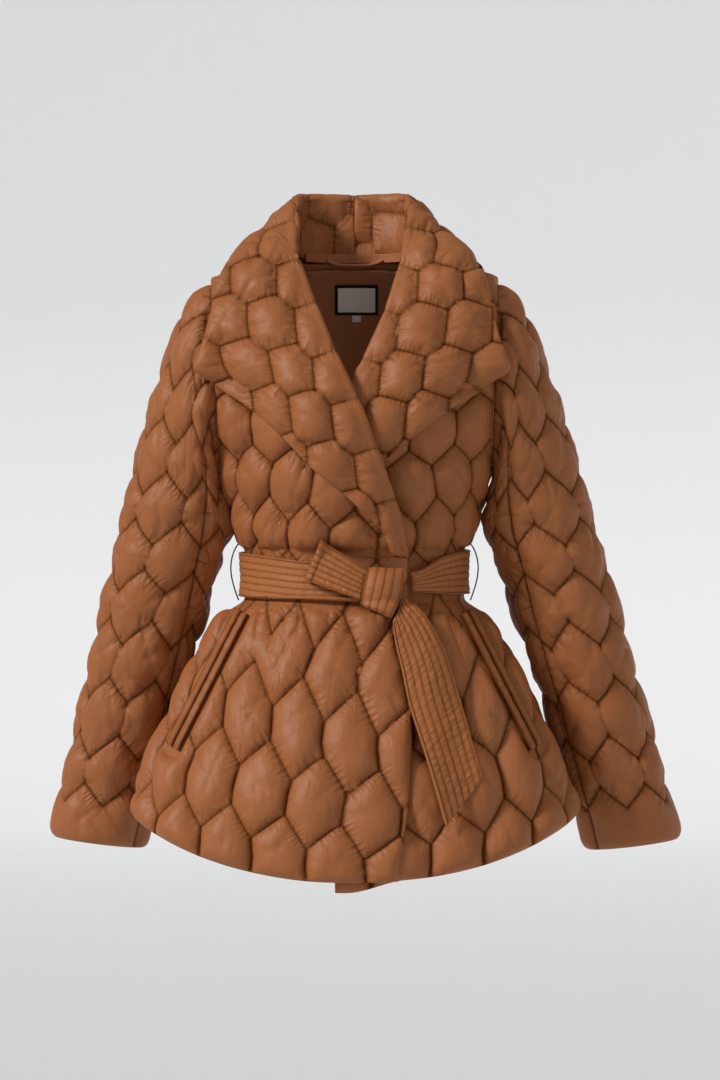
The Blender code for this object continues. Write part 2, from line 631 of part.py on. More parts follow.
def collar_section(row, side, which):
    """One section: stand, half-round roll and fall, as points from the foot to the edge."""
    roll_x, roll_y, roll_z, edge_x, edge_y, edge_z, bulge, radius = row
    on_chest = roll_y is None
    top = COLLAR_WALL + COLLAR_CLEAR

    def cover(x, height):
        stack = lapel_stack(x, height) if which == "right" else 0.0
        return front_y(np.clip(x, -COLLAR_REACH, COLLAR_REACH), height) - stack - top

    if on_chest:
        roll_y = cover(side * roll_x, roll_z) + top + ROLL_CLEAR
    roll = np.array([side * roll_x, roll_y, roll_z])
    edge = np.array([side * edge_x, 0.0, edge_z])
    edge[1] = cover(edge[0], edge_z) if edge_y is None else edge_y
    if on_chest:
        forward = unit(np.array([roll[0] - edge[0], 0.0, roll[2] - edge[2]]))
        outward = np.array([0.0, -1.0, 0.0])
        foot = roll - forward * (radius + STAND_LIP) - outward * radius
    else:
        foot = stand_foot(roll[0], roll[1])
        if roll_y < STAND_FRONT_Y:
            foot = roll + np.array([side * FRONT_FOOT_OUT, radius, -FRONT_FOOT_DROP])
        forward = unit(roll - (foot + edge) / 2)
        outward = unit(edge - foot - (edge - foot).dot(forward) * forward)
    start = roll - forward * radius - outward * radius
    finish = roll - forward * radius + outward * radius
    points = [foot + (start - foot) * share for share in STAND_SHARES]
    for turn in np.radians(ROLL_TURNS):
        spoke = forward * math.sin(turn) - outward * math.cos(turn)
        points.append(roll + (spoke - forward) * radius)
    lean = unit(edge - finish)
    lift = outward - outward.dot(lean) * lean
    for share in FALL_SHARES:
        point = finish + (edge - finish) * share
        if on_chest:
            level = cover(point[0], point[2]) - bulge * math.sin(math.pi * share)
            level += (edge[1] - cover(edge[0], edge[2])) * share ** 2
            level += (finish[1] - cover(finish[0], finish[2])) * (1 - share) ** 3
            point = np.array([point[0], level, point[2]])
        else:
            point = point + lift * bulge * 4 * share * (1 - share)
        points.append(point)
    return np.array(points)


def grid_normals(grid):
    """Unit normals of a grid of points from its neighbours."""
    along = np.gradient(grid, axis=0)
    across = np.gradient(grid, axis=1)
    return unit(np.cross(along, across))


def collar_half(which, side, table):
    """Collar and lapel of one side."""
    outer = np.array([collar_section(row, side, which) for row in table])
    outer[0, :, 0] = side * SEAM_GAP / 2
    normal = grid_normals(outer) * side
    normal[0, :, 0] = 0.0
    normal = unit(normal)
    inner = outer - COLLAR_WALL * normal
    return wall(f"collar_{which}", outer, inner, CLOTH)


# ---------------------------------------------------------------- inside of the back neck
def inside_patch(name, box, depth, thickness, size, finish):
    """A patch inside the back: a box of X and Z laid that deep under the back's surface."""
    low_x, high_x, low_z, high_z = box
    outer, inner = [], []
    for height in np.linspace(low_z, high_z, size[1]):
        angles = edge_angle(np.linspace(low_x, high_x, size[0]), height, 1, 1)
        points, normals = body_point(angles, height, 1)
        outer.append(points - normals * depth)
        inner.append(points - normals * (depth + thickness))
    return wall(name, np.array(outer), np.array(inner), finish)


def back_facing():
    """The plain inside of the back, where the neck shows it."""
    depth = BODY_WALL + FACING_CLEAR
    outer, inner = [], []
    for height in FACING_HEIGHTS:
        reach = FACING_HALF + FACING_FLARE * ramp(-height, 0.0, FACING_FLARE_DEPTH)
        angles = edge_angle(np.linspace(-reach, reach, 9), height, 1, 1)
        points, normals = body_point(angles, height, 1)
        outer.append(points - normals * depth)
        inner.append(points - normals * (depth + LINING_WALL))
    return wall("back_facing", np.array(outer), np.array(inner), CLOTH_INSIDE)


def ring_point(x, inset):
    """X and Y on the back half of the neck ring moved in by an inset."""
    half, depth, _ = section(NECK_RING, 1)
    across, deep = half - inset, depth - inset
    return x, deep * (1 - abs(x / across) ** OVAL_POWER) ** (1 / OVAL_POWER)


def neck_tape():
    """The tape over the neck seam."""
    places = np.linspace(-TAPE_HALF, TAPE_HALF, 11)
    outer, inner = [], []
    for height in TAPE_HEIGHTS:
        outer.append([(*ring_point(x, TAPE_INSET), height) for x in places])
        inner.append([(*ring_point(x, TAPE_INSET + TAPE_WALL), height) for x in places])
    return wall("neck_tape", np.array(outer), np.array(inner), CLOTH_BELT)


def hanger_loop():
    """The hanging loop, sagging a little in front of the tape."""
    inset = TAPE_INSET + TAPE_WALL + HANGER_RADIUS + SEAM_GAP
    points = []
    for share in np.linspace(-1.0, 1.0, CORD_STEPS):
        x, y = ring_point(share * HANGER_HALF, inset)
        points.append((x, y, HANGER_MIDDLE + HANGER_END_RISE * share ** 4))
    return cord("hanger_loop", points, HANGER_RADIUS, CLOTH_BELT)


def label_pieces():
    """Label with a dark border, its bare face, and a small bare tab under it."""
    depth = BODY_WALL + FACING_CLEAR + LINING_WALL + LABEL_CLEAR
    inside_patch("label", LABEL_BOX, depth, LABEL_WALL, (5, 3), LABEL_DARK)
    low_x, high_x, low_z, high_z = LABEL_BOX
    face = (low_x + LABEL_BORDER, high_x - LABEL_BORDER, low_z + LABEL_BORDER, high_z - LABEL_BORDER)
    inside_patch("label_face", face, depth + LABEL_WALL + SEAM_GAP, LABEL_WALL / 2, (5, 3), LABEL_PALE)
    inside_patch("size_tab", TAB_BOX, depth, LABEL_WALL, (3, 2), LABEL_PALE)


# ---------------------------------------------------------------- belt
def belt_lift(x):
    """How far the belt stands off the body over the overlap, easing off past its edge."""
    return PANEL_STACK * ramp(x, *STACK_X) * (1 - ramp(x, *BELT_LIFT_FADE))


def belt_round():
    """The belt from the knot's left edge, round the back, to its right edge."""
    turns = column(BELT_PATH, BELT_PATH_COLUMNS, "turn")
    low = column(BELT_PATH, BELT_PATH_COLUMNS, "low")
    high = column(BELT_PATH, BELT_PATH_COLUMNS, "high")
    start = 2 * math.pi - float(edge_angle(KNOT_LEFT_EDGE, WAIST, -1, 1))
    end = -float(edge_angle(KNOT_RIGHT_EDGE + 0.002, WAIST, -1, 1))
    outer, inner = [], []
    for share in (0.0, 0.5, 1.0):
        outer_row, inner_row = [], []
        for turn in np.linspace(0.0, 1.0, BELT_STEPS):
            angle = start + (end - start) * turn
            face = 1 if math.sin(angle) > 0 else -1
            height = smooth(turns, low, turn) * (1 - share) + smooth(turns, high, turn) * share
            flat = math.acos(math.cos(angle))
            points, normals = body_point(flat, height, face)
            lift = BELT_CLEAR + (belt_lift(points[0]) if face < 0 else 0.0)
            inner_row.append(points + normals * lift)
            outer_row.append(points + normals * (lift + BELT_WALL))
        outer.append(outer_row)
        inner.append(inner_row)
    return wall("belt_round", np.array(outer), np.array(inner), CLOTH_BELT)


def belt_cover(x, height):
    """Y of the belt's outer face at the front."""
    return front_y(x, height) - PANEL_STACK - BELT_CLEAR - BELT_WALL


def belt_knot():
    """The knot: the band wrapped down over the belt, rounded across and along."""
    outer, inner = [], []
    for left_x, left_z, right_x, right_z, rise in KNOT:
        outer_row, inner_row = [], []
        for share in np.linspace(0.0, 1.0, 7):
            x = left_x + (right_x - left_x) * share
            z = left_z + (right_z - left_z) * share
            base = min(belt_cover(x, WAIST), front_y(x, z) - PANEL_STACK - 2 * BELT_CLEAR) - SEAM_GAP
            middle = math.sin(math.pi * share) ** KNOT_ROUNDNESS
            crown = KNOT_EDGE_SHARE + (1 - KNOT_EDGE_SHARE) * middle
            inner_row.append((x, base, z))
            outer_row.append((x, base - KNOT_BACKING - rise * crown, z))
        outer.append(outer_row)
        inner.append(inner_row)
    return wall("belt_knot", np.array(outer), np.array(inner), CLOTH_BELT)


def belt_end_short():
    """The short end: a folded loop of belt lying up and to the left of the knot."""
    outer, inner = [], []
    for across in np.linspace(0.0, 1.0, 4):
        near = np.array(SHORT_KNOT_LOW) * (1 - across) + np.array(SHORT_KNOT_TOP) * across
        far = np.array(SHORT_FAR_LOW) * (1 - across) + np.array(SHORT_FAR_TOP) * across
        outer_row, inner_row = [], []
        for along in np.linspace(0.0, 1.0, 6):
            x, z = near + (far - near) * along
            lift = float(lapel_stack(x, z)) + BELT_CLEAR + BELT_WALL + SEAM_GAP + SHORT_CLEAR
            y = front_y(x, z) - lift - SHORT_KNOT_LIFT * (1 - along)
            thick = SHORT_WALL + SHORT_SWELL * math.sin(math.pi * min(along, 0.5))
            inner_row.append((x, y, z))
            outer_row.append((x, y - thick, z))
        outer.append(outer_row)
        inner.append(inner_row)
    return wall("belt_end_short", np.array(outer), np.array(inner), CLOTH_BELT)


def belt_end_long():
    """The hanging end, lying down the skirt from under the knot."""
    outer, inner = [], []
    for left_x, left_z, right_x, right_z in TAIL:
        outer_row, inner_row = [], []
        for share in np.linspace(0.0, 1.0, 4):
            x = left_x + (right_x - left_x) * share
            z = left_z + (right_z - left_z) * share
            over = PANEL_STACK * (1 - ramp(x, *TAIL_OVERLAP_FADE))
            lift = over + TAIL_CLEAR + TAIL_KNOT_LIFT * ramp(z, *TAIL_KNOT_HEIGHTS)
            y = front_y(x, z) - lift
            inner_row.append((x, y, z))
            outer_row.append((x, y - BELT_WALL, z))
        outer.append(outer_row)
        inner.append(inner_row)
    return wall("belt_end_long", np.array(outer), np.array(inner), CLOTH_BELT)


def belt_loop(which, side):
    """A thread loop at the side seam, round the belt."""
    points = []
    top_half, foot_half = section(LOOP_TOP, -1)[0], section(LOOP_FOOT, -1)[0]
    for share in np.linspace(0.0, 1.0, CORD_STEPS):
        height = LOOP_TOP + (LOOP_FOOT - LOOP_TOP) * share
        ends = top_half * (1 - share) + foot_half * share
        bow = math.sin(math.pi * share) ** 0.8 * (1.1 - 0.5 * share)
        stand = LOOP_RADIUS + LOOP_CLEAR + LOOP_STAND * bow
        points.append((side * (ends + stand), 0.0, height))
    return cord(f"belt_loop_{which}", points, LOOP_RADIUS, THREAD)


# ---------------------------------------------------------------- pocket welts
def pocket_welt(which, side, name, shift):
    """One padded strip of a pocket's edge, laid slanting on the skirt."""
    along = unit(np.array(WELT_FOOT) - np.array(WELT_TOP))
    across = np.array((along[1], -along[0]))
    outer, inner = [], []
    for share in np.linspace(0.0, 1.0, WELT_STEPS):
        outer_row, inner_row = [], []
        for part, crown in ((0.0, WELT_EDGE_RISE), (0.5, 1.0), (1.0, WELT_EDGE_RISE)):
            spot = np.array(WELT_TOP) * (1 - share) + np.array(WELT_FOOT) * share
            x, z = spot + across * (shift + part * WELT_WIDTH)
            angle = edge_angle(x, z, -1, 1)
            normal = body_point(angle if side > 0 else math.pi - angle, z, -1)[1]
            point = np.array([side * x, float(front_y(x, z)), z])
            inner_row.append(point + normal * WELT_CLEAR)
            outer_row.append(point + normal * (WELT_CLEAR + WELT_RISE * crown))
        outer.append(outer_row)
        inner.append(inner_row)
    return wall(f"welt_{which}_{name}", np.array(outer), np.array(inner), CLOTH)


# ---------------------------------------------------------------- assembly
def build():
    """Make every piece of the coat."""
    front_panel("right", -1, 12)
    front_panel("left", 1, 12)
    back_panel(10)
    for which, side in (("right", -1), ("left", 1)):
        sleeve_piece(which, side, "upper", 11)
        sleeve_piece(which, side, "under", 7)
        belt_loop(which, side)
        pocket_welt(which, side, "side", -WELT_WIDTH - SEAM_GAP)
        pocket_welt(which, side, "front", SEAM_GAP)
    collar_half("right", -1, COLLAR_RIGHT)
    collar_half("left", 1, COLLAR_LEFT)
    back_facing()
    neck_tape()
    hanger_loop()
    label_pieces()
    belt_round()
    belt_knot()
    belt_end_short()
    belt_end_long()


for leftover in list(bpy.data.objects):
    bpy.data.objects.remove(leftover, do_unlink=True)
COAT = bpy.data.collections.new("down_coat")
bpy.context.scene.collection.children.link(COAT)
build()
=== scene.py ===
"""Looks of a down coat: quilted and padded cloth, a belt sewn in channels, plain linings.

Metres, +Z up, +X towards the wearer's left, -Y towards the front. Each cloth piece is a grid of
points on the garment's own sections, moved along its normals by the quilting, the gathers and
the rounded edges, and closed by a plain inner wall.
"""
import math

import bpy
import numpy as np
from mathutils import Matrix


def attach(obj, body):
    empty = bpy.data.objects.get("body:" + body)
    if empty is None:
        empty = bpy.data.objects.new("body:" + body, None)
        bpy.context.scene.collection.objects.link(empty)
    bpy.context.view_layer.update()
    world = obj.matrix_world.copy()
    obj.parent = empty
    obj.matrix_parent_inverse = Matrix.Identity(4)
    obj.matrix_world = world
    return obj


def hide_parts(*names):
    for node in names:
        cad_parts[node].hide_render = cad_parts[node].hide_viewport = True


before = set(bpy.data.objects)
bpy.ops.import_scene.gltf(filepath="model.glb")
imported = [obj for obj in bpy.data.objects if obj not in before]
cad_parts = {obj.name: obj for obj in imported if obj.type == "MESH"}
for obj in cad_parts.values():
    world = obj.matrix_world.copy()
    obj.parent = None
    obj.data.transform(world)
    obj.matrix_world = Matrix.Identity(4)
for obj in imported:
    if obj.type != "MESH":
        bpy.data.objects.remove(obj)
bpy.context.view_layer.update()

# ---------------------------------------------------------------- the garment's sizes
BODY_WALL = 0.008
SLEEVE_WALL = 0.007
COLLAR_WALL = 0.006
BELT_WALL = 0.003
LINING_WALL = 0.002

OVAL_POWER = 2.3
HEM_SIDE = -0.614
HEM_DROP = 0.064
HEM_POWER = 2.3
WAIST = -0.3506
UNDERARM = -0.235
SHOULDER_POINT = (0.160, -0.022)
UNDERARM_POINT = (0.150, UNDERARM)
ARMHOLE_DEPTH = 0.068
NECK_RING = 0.008
NECK_RING_HALF = 0.077
LAPEL_STACK = 0.0205
PANEL_STACK = 0.0108

# Body sections: height, half width, front depth, back depth, middle in Y.
BODY_COLUMNS = ("height", "half_width", "front", "back", "middle")
BODY = (
    (-0.710, 0.2570, 0.146, 0.158, -0.030),
    (-0.632, 0.2520, 0.141, 0.152, -0.030),
    (-0.599, 0.2460, 0.137, 0.147, -0.028),
    (-0.562, 0.2330, 0.133, 0.142, -0.025),
    (-0.5376, 0.2230, 0.129, 0.137, -0.022),
    (-0.5085, 0.2095, 0.123, 0.130, -0.018),
    (-0.4794, 0.1970, 0.117, 0.123, -0.014),
    (-0.4460, 0.1800, 0.111, 0.115, -0.009),
    (-0.4234, 0.1670, 0.106, 0.108, -0.005),
    (-0.4010, 0.1530, 0.101, 0.101, -0.002),
    (-0.3860, 0.1385, 0.095, 0.094, -0.001),
    (-0.3760, 0.1255, 0.089, 0.087, 0.000),
    (-0.3506, 0.1240, 0.088, 0.086, 0.000),
    (-0.3260, 0.1245, 0.089, 0.087, 0.000),
    (-0.3114, 0.1300, 0.092, 0.090, 0.000),
    (-0.2890, 0.1370, 0.098, 0.096, 0.000),
    (-0.2600, 0.1455, 0.106, 0.104, 0.000),
    (-0.2350, 0.1500, 0.111, 0.110, 0.000),
    (-0.1900, 0.1600, 0.114, 0.118, 0.000),
    (-0.1400, 0.1700, 0.109, 0.121, 0.000),
    (-0.0900, 0.1700, 0.097, 0.116, 0.000),
    (-0.0500, 0.1650, 0.081, 0.106, 0.000),
    (-0.0220, 0.1600, 0.066, 0.094, 0.000),
    (0.0080, 0.0770, 0.046, 0.075, 0.000),
)

# Sleeve rings: outer and inner point in X and Z, half depth, middle in Y, and the seam's angle
# on the front between the upper and the under piece.
SLEEVE_COLUMNS = ("outer_x", "outer_z", "inner_x", "inner_z", "depth", "middle", "seam")
SLEEVE = (
    (0.1600, -0.0220, 0.1500, -0.2350, 0.068, 0.000, 112.0),
    (0.1810, -0.0400, 0.1503, -0.2440, 0.071, 0.000, 114.0),
    (0.1990, -0.0720, 0.1485, -0.2570, 0.071, 0.001, 116.0),
    (0.2130, -0.1110, 0.1452, -0.2720, 0.069, 0.003, 118.0),
    (0.2280, -0.1560, 0.1400, -0.2900, 0.066, 0.005, 120.0),
    (0.2450, -0.2200, 0.1430, -0.3130, 0.063, 0.008, 124.0),
    (0.2620, -0.2890, 0.1540, -0.3500, 0.061, 0.013, 130.0),
    (0.2800, -0.3640, 0.1690, -0.3990, 0.058, 0.020, 136.0),
    (0.2985, -0.4450, 0.1890, -0.4670, 0.055, 0.030, 141.0),
    (0.3160, -0.5170, 0.2075, -0.5350, 0.052, 0.040, 144.0),
    (0.3310, -0.5800, 0.2240, -0.5980, 0.049, 0.048, 145.0),
    (0.3445, -0.6480, 0.2380, -0.6620, 0.047, 0.053, 145.0),
)
SWING_FROM = -0.130
SWING_OUT = {"right": 0.0, "left": 0.046}
SWING_BACK = {"right": 0.050, "left": -0.020}

# Collar and lapel stations from the centre back to the foot of the lapel: the roll is the
# folded edge and the edge the free one; a blank Y is read from the body under that point.
COLLAR_COLUMNS = ("roll_x", "roll_y", "roll_z", "edge_x", "edge_y", "edge_z", "bulge", "roll_radius")
COLLAR_RIGHT = (
    (0.0000, 0.0790, 0.0840, 0.0000, 0.1290, -0.026, 0.012, 0.0100),
    (0.0250, 0.0770, 0.0840, 0.0360, 0.1265, -0.025, 0.013, 0.0100),
    (0.0460, 0.0680, 0.0840, 0.0700, 0.1170, -0.021, 0.013, 0.0100),
    (0.0620, 0.0480, 0.0820, 0.1000, 0.1020, -0.014, 0.014, 0.0105),
    (0.0660, 0.0120, 0.0680, 0.1300, 0.0500, -0.003, 0.008, 0.0110),
    (0.0630, -0.0200, 0.0370, 0.1430, 0.0020, -0.001, 0.009, 0.0100),
    (0.0610, -0.0420, 0.0090, 0.1530, -0.0510, -0.0235, 0.014, 0.0080),
    (0.0530, None, -0.0168, 0.1600, -0.0700, -0.062, 0.010, 0.0075),
    (0.0398, None, -0.0515, 0.1686, -0.0800, -0.095, 0.006, 0.0075),
    (0.0263, None, -0.0850, 0.1775, -0.0860, -0.122, 0.006, 0.0075),
    (0.0106, None, -0.1210, 0.1540, -0.0840, -0.141, 0.006, 0.0075),
    (-0.0073, None, -0.1590, 0.1170, None, -0.167, 0.005, 0.0075),
    (-0.0230, None, -0.2016, 0.0756, None, -0.205, 0.005, 0.0075),
    (-0.0375, None, -0.2420, 0.0431, None, -0.238, 0.004, 0.0075),
    (-0.0476, None, -0.2710, 0.0006, None, -0.273, 0.003, 0.0075),
    (-0.0554, None, -0.3010, -0.0280, None, -0.302, 0.002, 0.0072),
    (-0.0610, None, -0.3300, -0.0420, None, -0.330, 0.001, 0.0060),
)
COLLAR_LEFT = (
    (0.0000, 0.0790, 0.0840, 0.0000, 0.1290, -0.026, 0.012, 0.0100),
    (0.0250, 0.0770, 0.0840, 0.0360, 0.1265, -0.025, 0.013, 0.0100),
    (0.0460, 0.0680, 0.0840, 0.0700, 0.1170, -0.021, 0.013, 0.0100),
    (0.0600, 0.0480, 0.0820, 0.1000, 0.1020, -0.014, 0.014, 0.0105),
    (0.0600, 0.0120, 0.0680, 0.1280, 0.0500, -0.003, 0.008, 0.0110),
    (0.0550, -0.0200, 0.0370, 0.1400, 0.0020, 0.000, 0.009, 0.0100),
    (0.0510, -0.0420, 0.0090, 0.1480, -0.0540, -0.021, 0.014, 0.0080),
    (0.0440, None, -0.0200, 0.1530, -0.0700, -0.056, 0.010, 0.0075),
    (0.0342, None, -0.0515, 0.1600, -0.0800, -0.086, 0.006, 0.0075),
    (0.0218, None, -0.0829, 0.1720, -0.0860, -0.122, 0.006, 0.0075),
    (0.0073, None, -0.1120, 0.1473, -0.0840, -0.142, 0.006, 0.0075),
    (-0.0062, None, -0.1411, 0.1137, None, -0.1646, 0.004, 0.0072),
    (-0.0170, None, -0.1747, 0.0778, None, -0.1904, 0.002, 0.0070),
    (-0.0250, None, -0.2106, 0.0454, None, -0.2162, 0.001, 0.0070),
    (-0.0310, None, -0.2486, 0.0151, None, -0.2442, 0.000, 0.0070),
    (-0.0330, None, -0.2740, -0.0040, None, -0.2670, 0.000, 0.0070),
    (-0.0340, None, -0.2880, -0.0170, None, -0.2850, 0.000, 0.0070),
)
STAND_INSET = 0.0095
STAND_LIP = 0.0015
COLLAR_CLEAR = 0.0048
FOLD_SETBACK = 0.0170
CHEST_FROM = 6

EDGE_COLUMNS = ("height", "overlap", "underlap")
FRONT_EDGE = (
    (-0.7000, 0.0440, -0.0200),
    (-0.6000, 0.0535, -0.0208),
    (-0.5250, 0.0588, -0.0213),
    (-0.4000, 0.0588, -0.0216),
    (-0.3550, 0.0590, -0.0216),
)

# The underlap's hem hangs lower near its free edge, fading over these X and depths.
UNDERLAP_DROP = 0.012
UNDERLAP_DROP_X = (-0.010, 0.055)
UNDERLAP_DROP_DEPTH = (0.600, 0.672)

# Inside of the back neck, its boxes as low X, high X, low Z, high Z.
FACING_CLEAR = 0.0010
TAPE_HEIGHTS = (0.0030, 0.0105, 0.0170)
TAPE_HALF = 0.054
TAPE_INSET = 0.0112
TAPE_WALL = 0.0008
LABEL_BOX = (-0.0230, 0.0275, -0.0496, -0.0138)
LABEL_BORDER = 0.0034
LABEL_WALL = 0.0008
LABEL_CLEAR = 0.0012
TAB_BOX = (-0.0028, 0.0073, -0.0580, -0.0503)
HANGER_RADIUS = 0.0016
HANGER_HALF = 0.0315
HANGER_MIDDLE = 0.0010
HANGER_END_RISE = 0.0055
LOOP_RADIUS = 0.0008
LOOP_TOP = -0.3160
LOOP_FOOT = -0.3788
LOOP_CLEAR = 0.0012
LOOP_STAND = 0.0100

BELT_CLEAR = 0.0018
KNOT_LEFT_EDGE = 0.0050
KNOT_RIGHT_EDGE = 0.0570
BELT_PATH_COLUMNS = ("turn", "low", "high")
BELT_PATH = (
    (0.00, -0.3850, -0.3360),
    (0.06, -0.3835, -0.3345),
    (0.14, -0.3790, -0.3290),
    (0.26, -0.3745, -0.3245),
    (0.50, -0.3730, -0.3220),
    (0.74, -0.3720, -0.3210),
    (0.86, -0.3718, -0.3222),
    (0.93, -0.3712, -0.3290),
    (1.00, -0.3690, -0.3475),
)
KNOT_COLUMNS = ("left_x", "left_z", "right_x", "right_z", "rise")
KNOT = (
    (0.0150, -0.3400, 0.0560, -0.3420, 0.004),
    (0.0135, -0.3450, 0.0555, -0.3490, 0.013),
    (0.0115, -0.3530, 0.0545, -0.3590, 0.018),
    (0.0095, -0.3620, 0.0520, -0.3700, 0.020),
    (0.0078, -0.3710, 0.0475, -0.3820, 0.018),
    (0.0068, -0.3790, 0.0430, -0.3920, 0.013),
    (0.0075, -0.3830, 0.0400, -0.3970, 0.005),
)
TAIL_COLUMNS = ("left_x", "left_z", "right_x", "right_z")
TAIL = (
    (0.0420, -0.3985, 0.0572, -0.3720),
    (0.0440, -0.4180, 0.0800, -0.3960),
    (0.0510, -0.4490, 0.1010, -0.4370),
    (0.0590, -0.4870, 0.1120, -0.4720),
    (0.0700, -0.5220, 0.1220, -0.5080),
    (0.0815, -0.5580, 0.1300, -0.5380),
    (0.0920, -0.5940, 0.1365, -0.5600),
    (0.0990, -0.6180, 0.1385, -0.5680),
)
WELT_TOP = (0.1240, -0.3900)
WELT_FOOT = (0.1990, -0.5380)
WELT_WIDTH = 0.0080
WELT_RISE = 0.0055

# ---------------------------------------------------------------- the quilting, from the photo
# Stitched zigzag rows: level and slope of the row, height of its zigzag, length of one turn,
# where a foot of the zigzag stands on the right and on the left front, and the share of a turn
# that rises, all in metres along the cloth from the centre front. The first row, hidden by the
# collar, carries the others on.
ROW_COLUMNS = ("level", "slope", "swing", "turn", "foot_right", "foot_left", "split")
FRONT_ROWS = (
    (0.0560, 0.09, 0.022, 0.0550, 0.0715, 0.0615, 0.50),
    (-0.0010, 0.09, 0.022, 0.0550, 0.0990, 0.0890, 0.50),
    (-0.0580, 0.09, 0.022, 0.0550, 0.0715, 0.0615, 0.50),
    (-0.1150, 0.09, 0.022, 0.0550, 0.0990, 0.0890, 0.50),
    (-0.1720, 0.09, 0.022, 0.0550, 0.0715, 0.0615, 0.50),
    (-0.2290, 0.09, 0.020, 0.0550, 0.0990, 0.0890, 0.50),
    (-0.2910, 0.14, 0.025, 0.0530, 0.0260, 0.0690, 0.50),
    (-0.3450, 0.14, 0.026, 0.0510, 0.0525, 0.0425, 0.50),
    (-0.4170, 0.295, 0.049, 0.0515, 0.0440, 0.0740, 0.39),
    (-0.4940, 0.27, 0.0425, 0.0590, 0.0330, 0.0630, 0.39),
    (-0.5680, 0.25, 0.036, 0.0610, 0.0095, 0.0395, 0.39),
    (-0.6350, 0.17, 0.034, 0.0630, 0.0526, 0.0836, 0.39),
    (-0.7020, 0.14, 0.029, 0.0640, 0.0276, 0.0576, 0.39),
)
BACK_SLOPE_SHARE = 0.40
# On a sleeve the slope falls away from its outer line, and the level is read SLEEVE_MIDDLE round
# from it. The first row, inside the armhole seam, carries the others on.
SLEEVE_ROW_COLUMNS = ("level", "slope", "swing", "turn", "foot", "split")
SLEEVE_MIDDLE = 0.085
SLEEVE_ROWS = (
    (0.0430, -0.10, 0.027, 0.0640, 0.0920, 0.50),
    (-0.0150, -0.10, 0.027, 0.0640, 0.0600, 0.50),
    (-0.0730, -0.10, 0.027, 0.0640, 0.0920, 0.50),
    (-0.1320, -0.10, 0.027, 0.0640, 0.0600, 0.50),
    (-0.1910, -0.10, 0.027, 0.0660, 0.0880, 0.50),
    (-0.2500, -0.10, 0.027, 0.0670, 0.0460, 0.50),
    (-0.3040, -0.09, 0.027, 0.0660, 0.0760, 0.50),
    (-0.3580, -0.09, 0.026, 0.0640, 0.0400, 0.50),
    (-0.4160, -0.10, 0.029, 0.0600, 0.0640, 0.50),
    (-0.4810, -0.10, 0.026, 0.0580, 0.0840, 0.50),
    (-0.5450, -0.08, 0.027, 0.0600, 0.0510, 0.50),
    (-0.6000, -0.09, 0.025, 0.0550, 0.0780, 0.50),
)
# On the collar a row runs at COLLAR_LEAN to the upright. The first four rows and the last, which
# the roll and the neck hide, carry the measured ones on.
COLLAR_LEAN = math.radians(57.0)
COLLAR_ROWS = (
    (0.2560, 0.0, 0.023, 0.0555, -0.0853, 0.52),
    (0.2080, 0.0, 0.023, 0.0555, -0.1130, 0.52),
    (0.1600, 0.0, 0.023, 0.0555, -0.0853, 0.52),
    (0.1120, 0.0, 0.023, 0.0555, -0.1130, 0.52),
    (0.0640, 0.0, 0.023, 0.0555, -0.0853, 0.52),
    (0.0155, 0.0, 0.023, 0.0555, -0.1158, 0.52),
    (-0.0300, 0.0, 0.023, 0.0555, -0.0934, 0.52),
    (-0.0780, 0.0, 0.023, 0.0555, -0.1269, 0.52),
    (-0.1275, 0.0, 0.023, 0.0555, -0.1598, 0.52),
    (-0.1760, 0.0, 0.023, 0.0555, -0.1928, 0.52),
)
LEFT_SHIFT = (-0.0040, 0.0190)

# Puffs: how deep seams lie, and rows on the flatter sleeves and collar; the height of a puff, the
# distance over which it rounds and the power of its arc, how uneven it is, its steep flank, and
# the most it may stand up.
SEAM_SINK = 0.0055
FLAT_SINK = 0.0042
PUFF = 0.0118
PUFF_REACH = 0.0265
PUFF_POWER = 0.62
PUFF_UNEVEN = 0.20
FLANK = 0.0026
FLANK_SHARE = 0.25
PUFF_TOP = 0.0090
# Necks: share and width of the sharp core and of the broad dip round it, and the bend sideways.
NECK_CORE = (0.78, 0.0042)
NECK_DIP = (0.22, 0.0120)
NECK_BEND = 0.0022
# Drawn creases: height, spacing, length and reach from the stitches or the neck.
SHORT_CREASE = (0.0022, 0.0110, 0.050, 0.0090)
LONG_CREASE = (0.0046, 0.0230, 0.060, 0.0260)
PINCH_CREASE = (0.0034, 0.0070, 0.35, 0.0120)
SLACK_CREASE = (0.0022, 0.020, 0.055)
CREASE_CLEAR = 0.0022
# Share and width of the shade painted into the colour beside a seam, the width of the shade painted
# along a neck, and the stitch layer's value on pieces without any stitches.
SEAM_PAINTED_SHADE = (0.75, 0.0018)
NECK_PAINTED_SHADE = 0.0030
CLEAR_OF_STITCHES = 9.0

LATTICE = (97, 89)
LATTICE_SHIFT = 1000.5

EDGE_ROUND = 0.0090
EDGE_GAP = 0.0006
PRESS_DEPTH = 0.0025
NEEDLE_DRIFT = 0.0013
ON_STITCH = 1e-5
SLEEVE_TUCK = 0.0025
SLEEVE_BLEND = 0.012
ARM_SWELL = 0.0040
SEAM_BLEND = 0.022

# The cloth's own settling: push and softening in each round, and the share of a pull that runs
# along the grid, across it and, as a part of either, where the cloth is slack.
PUSH = 0.00005
SOFTNESS = 0.02
GRAIN_PULL = 0.9
BIAS_PULL = 0.22
SLACK_PULL = 0.4
ROUNDS = 36

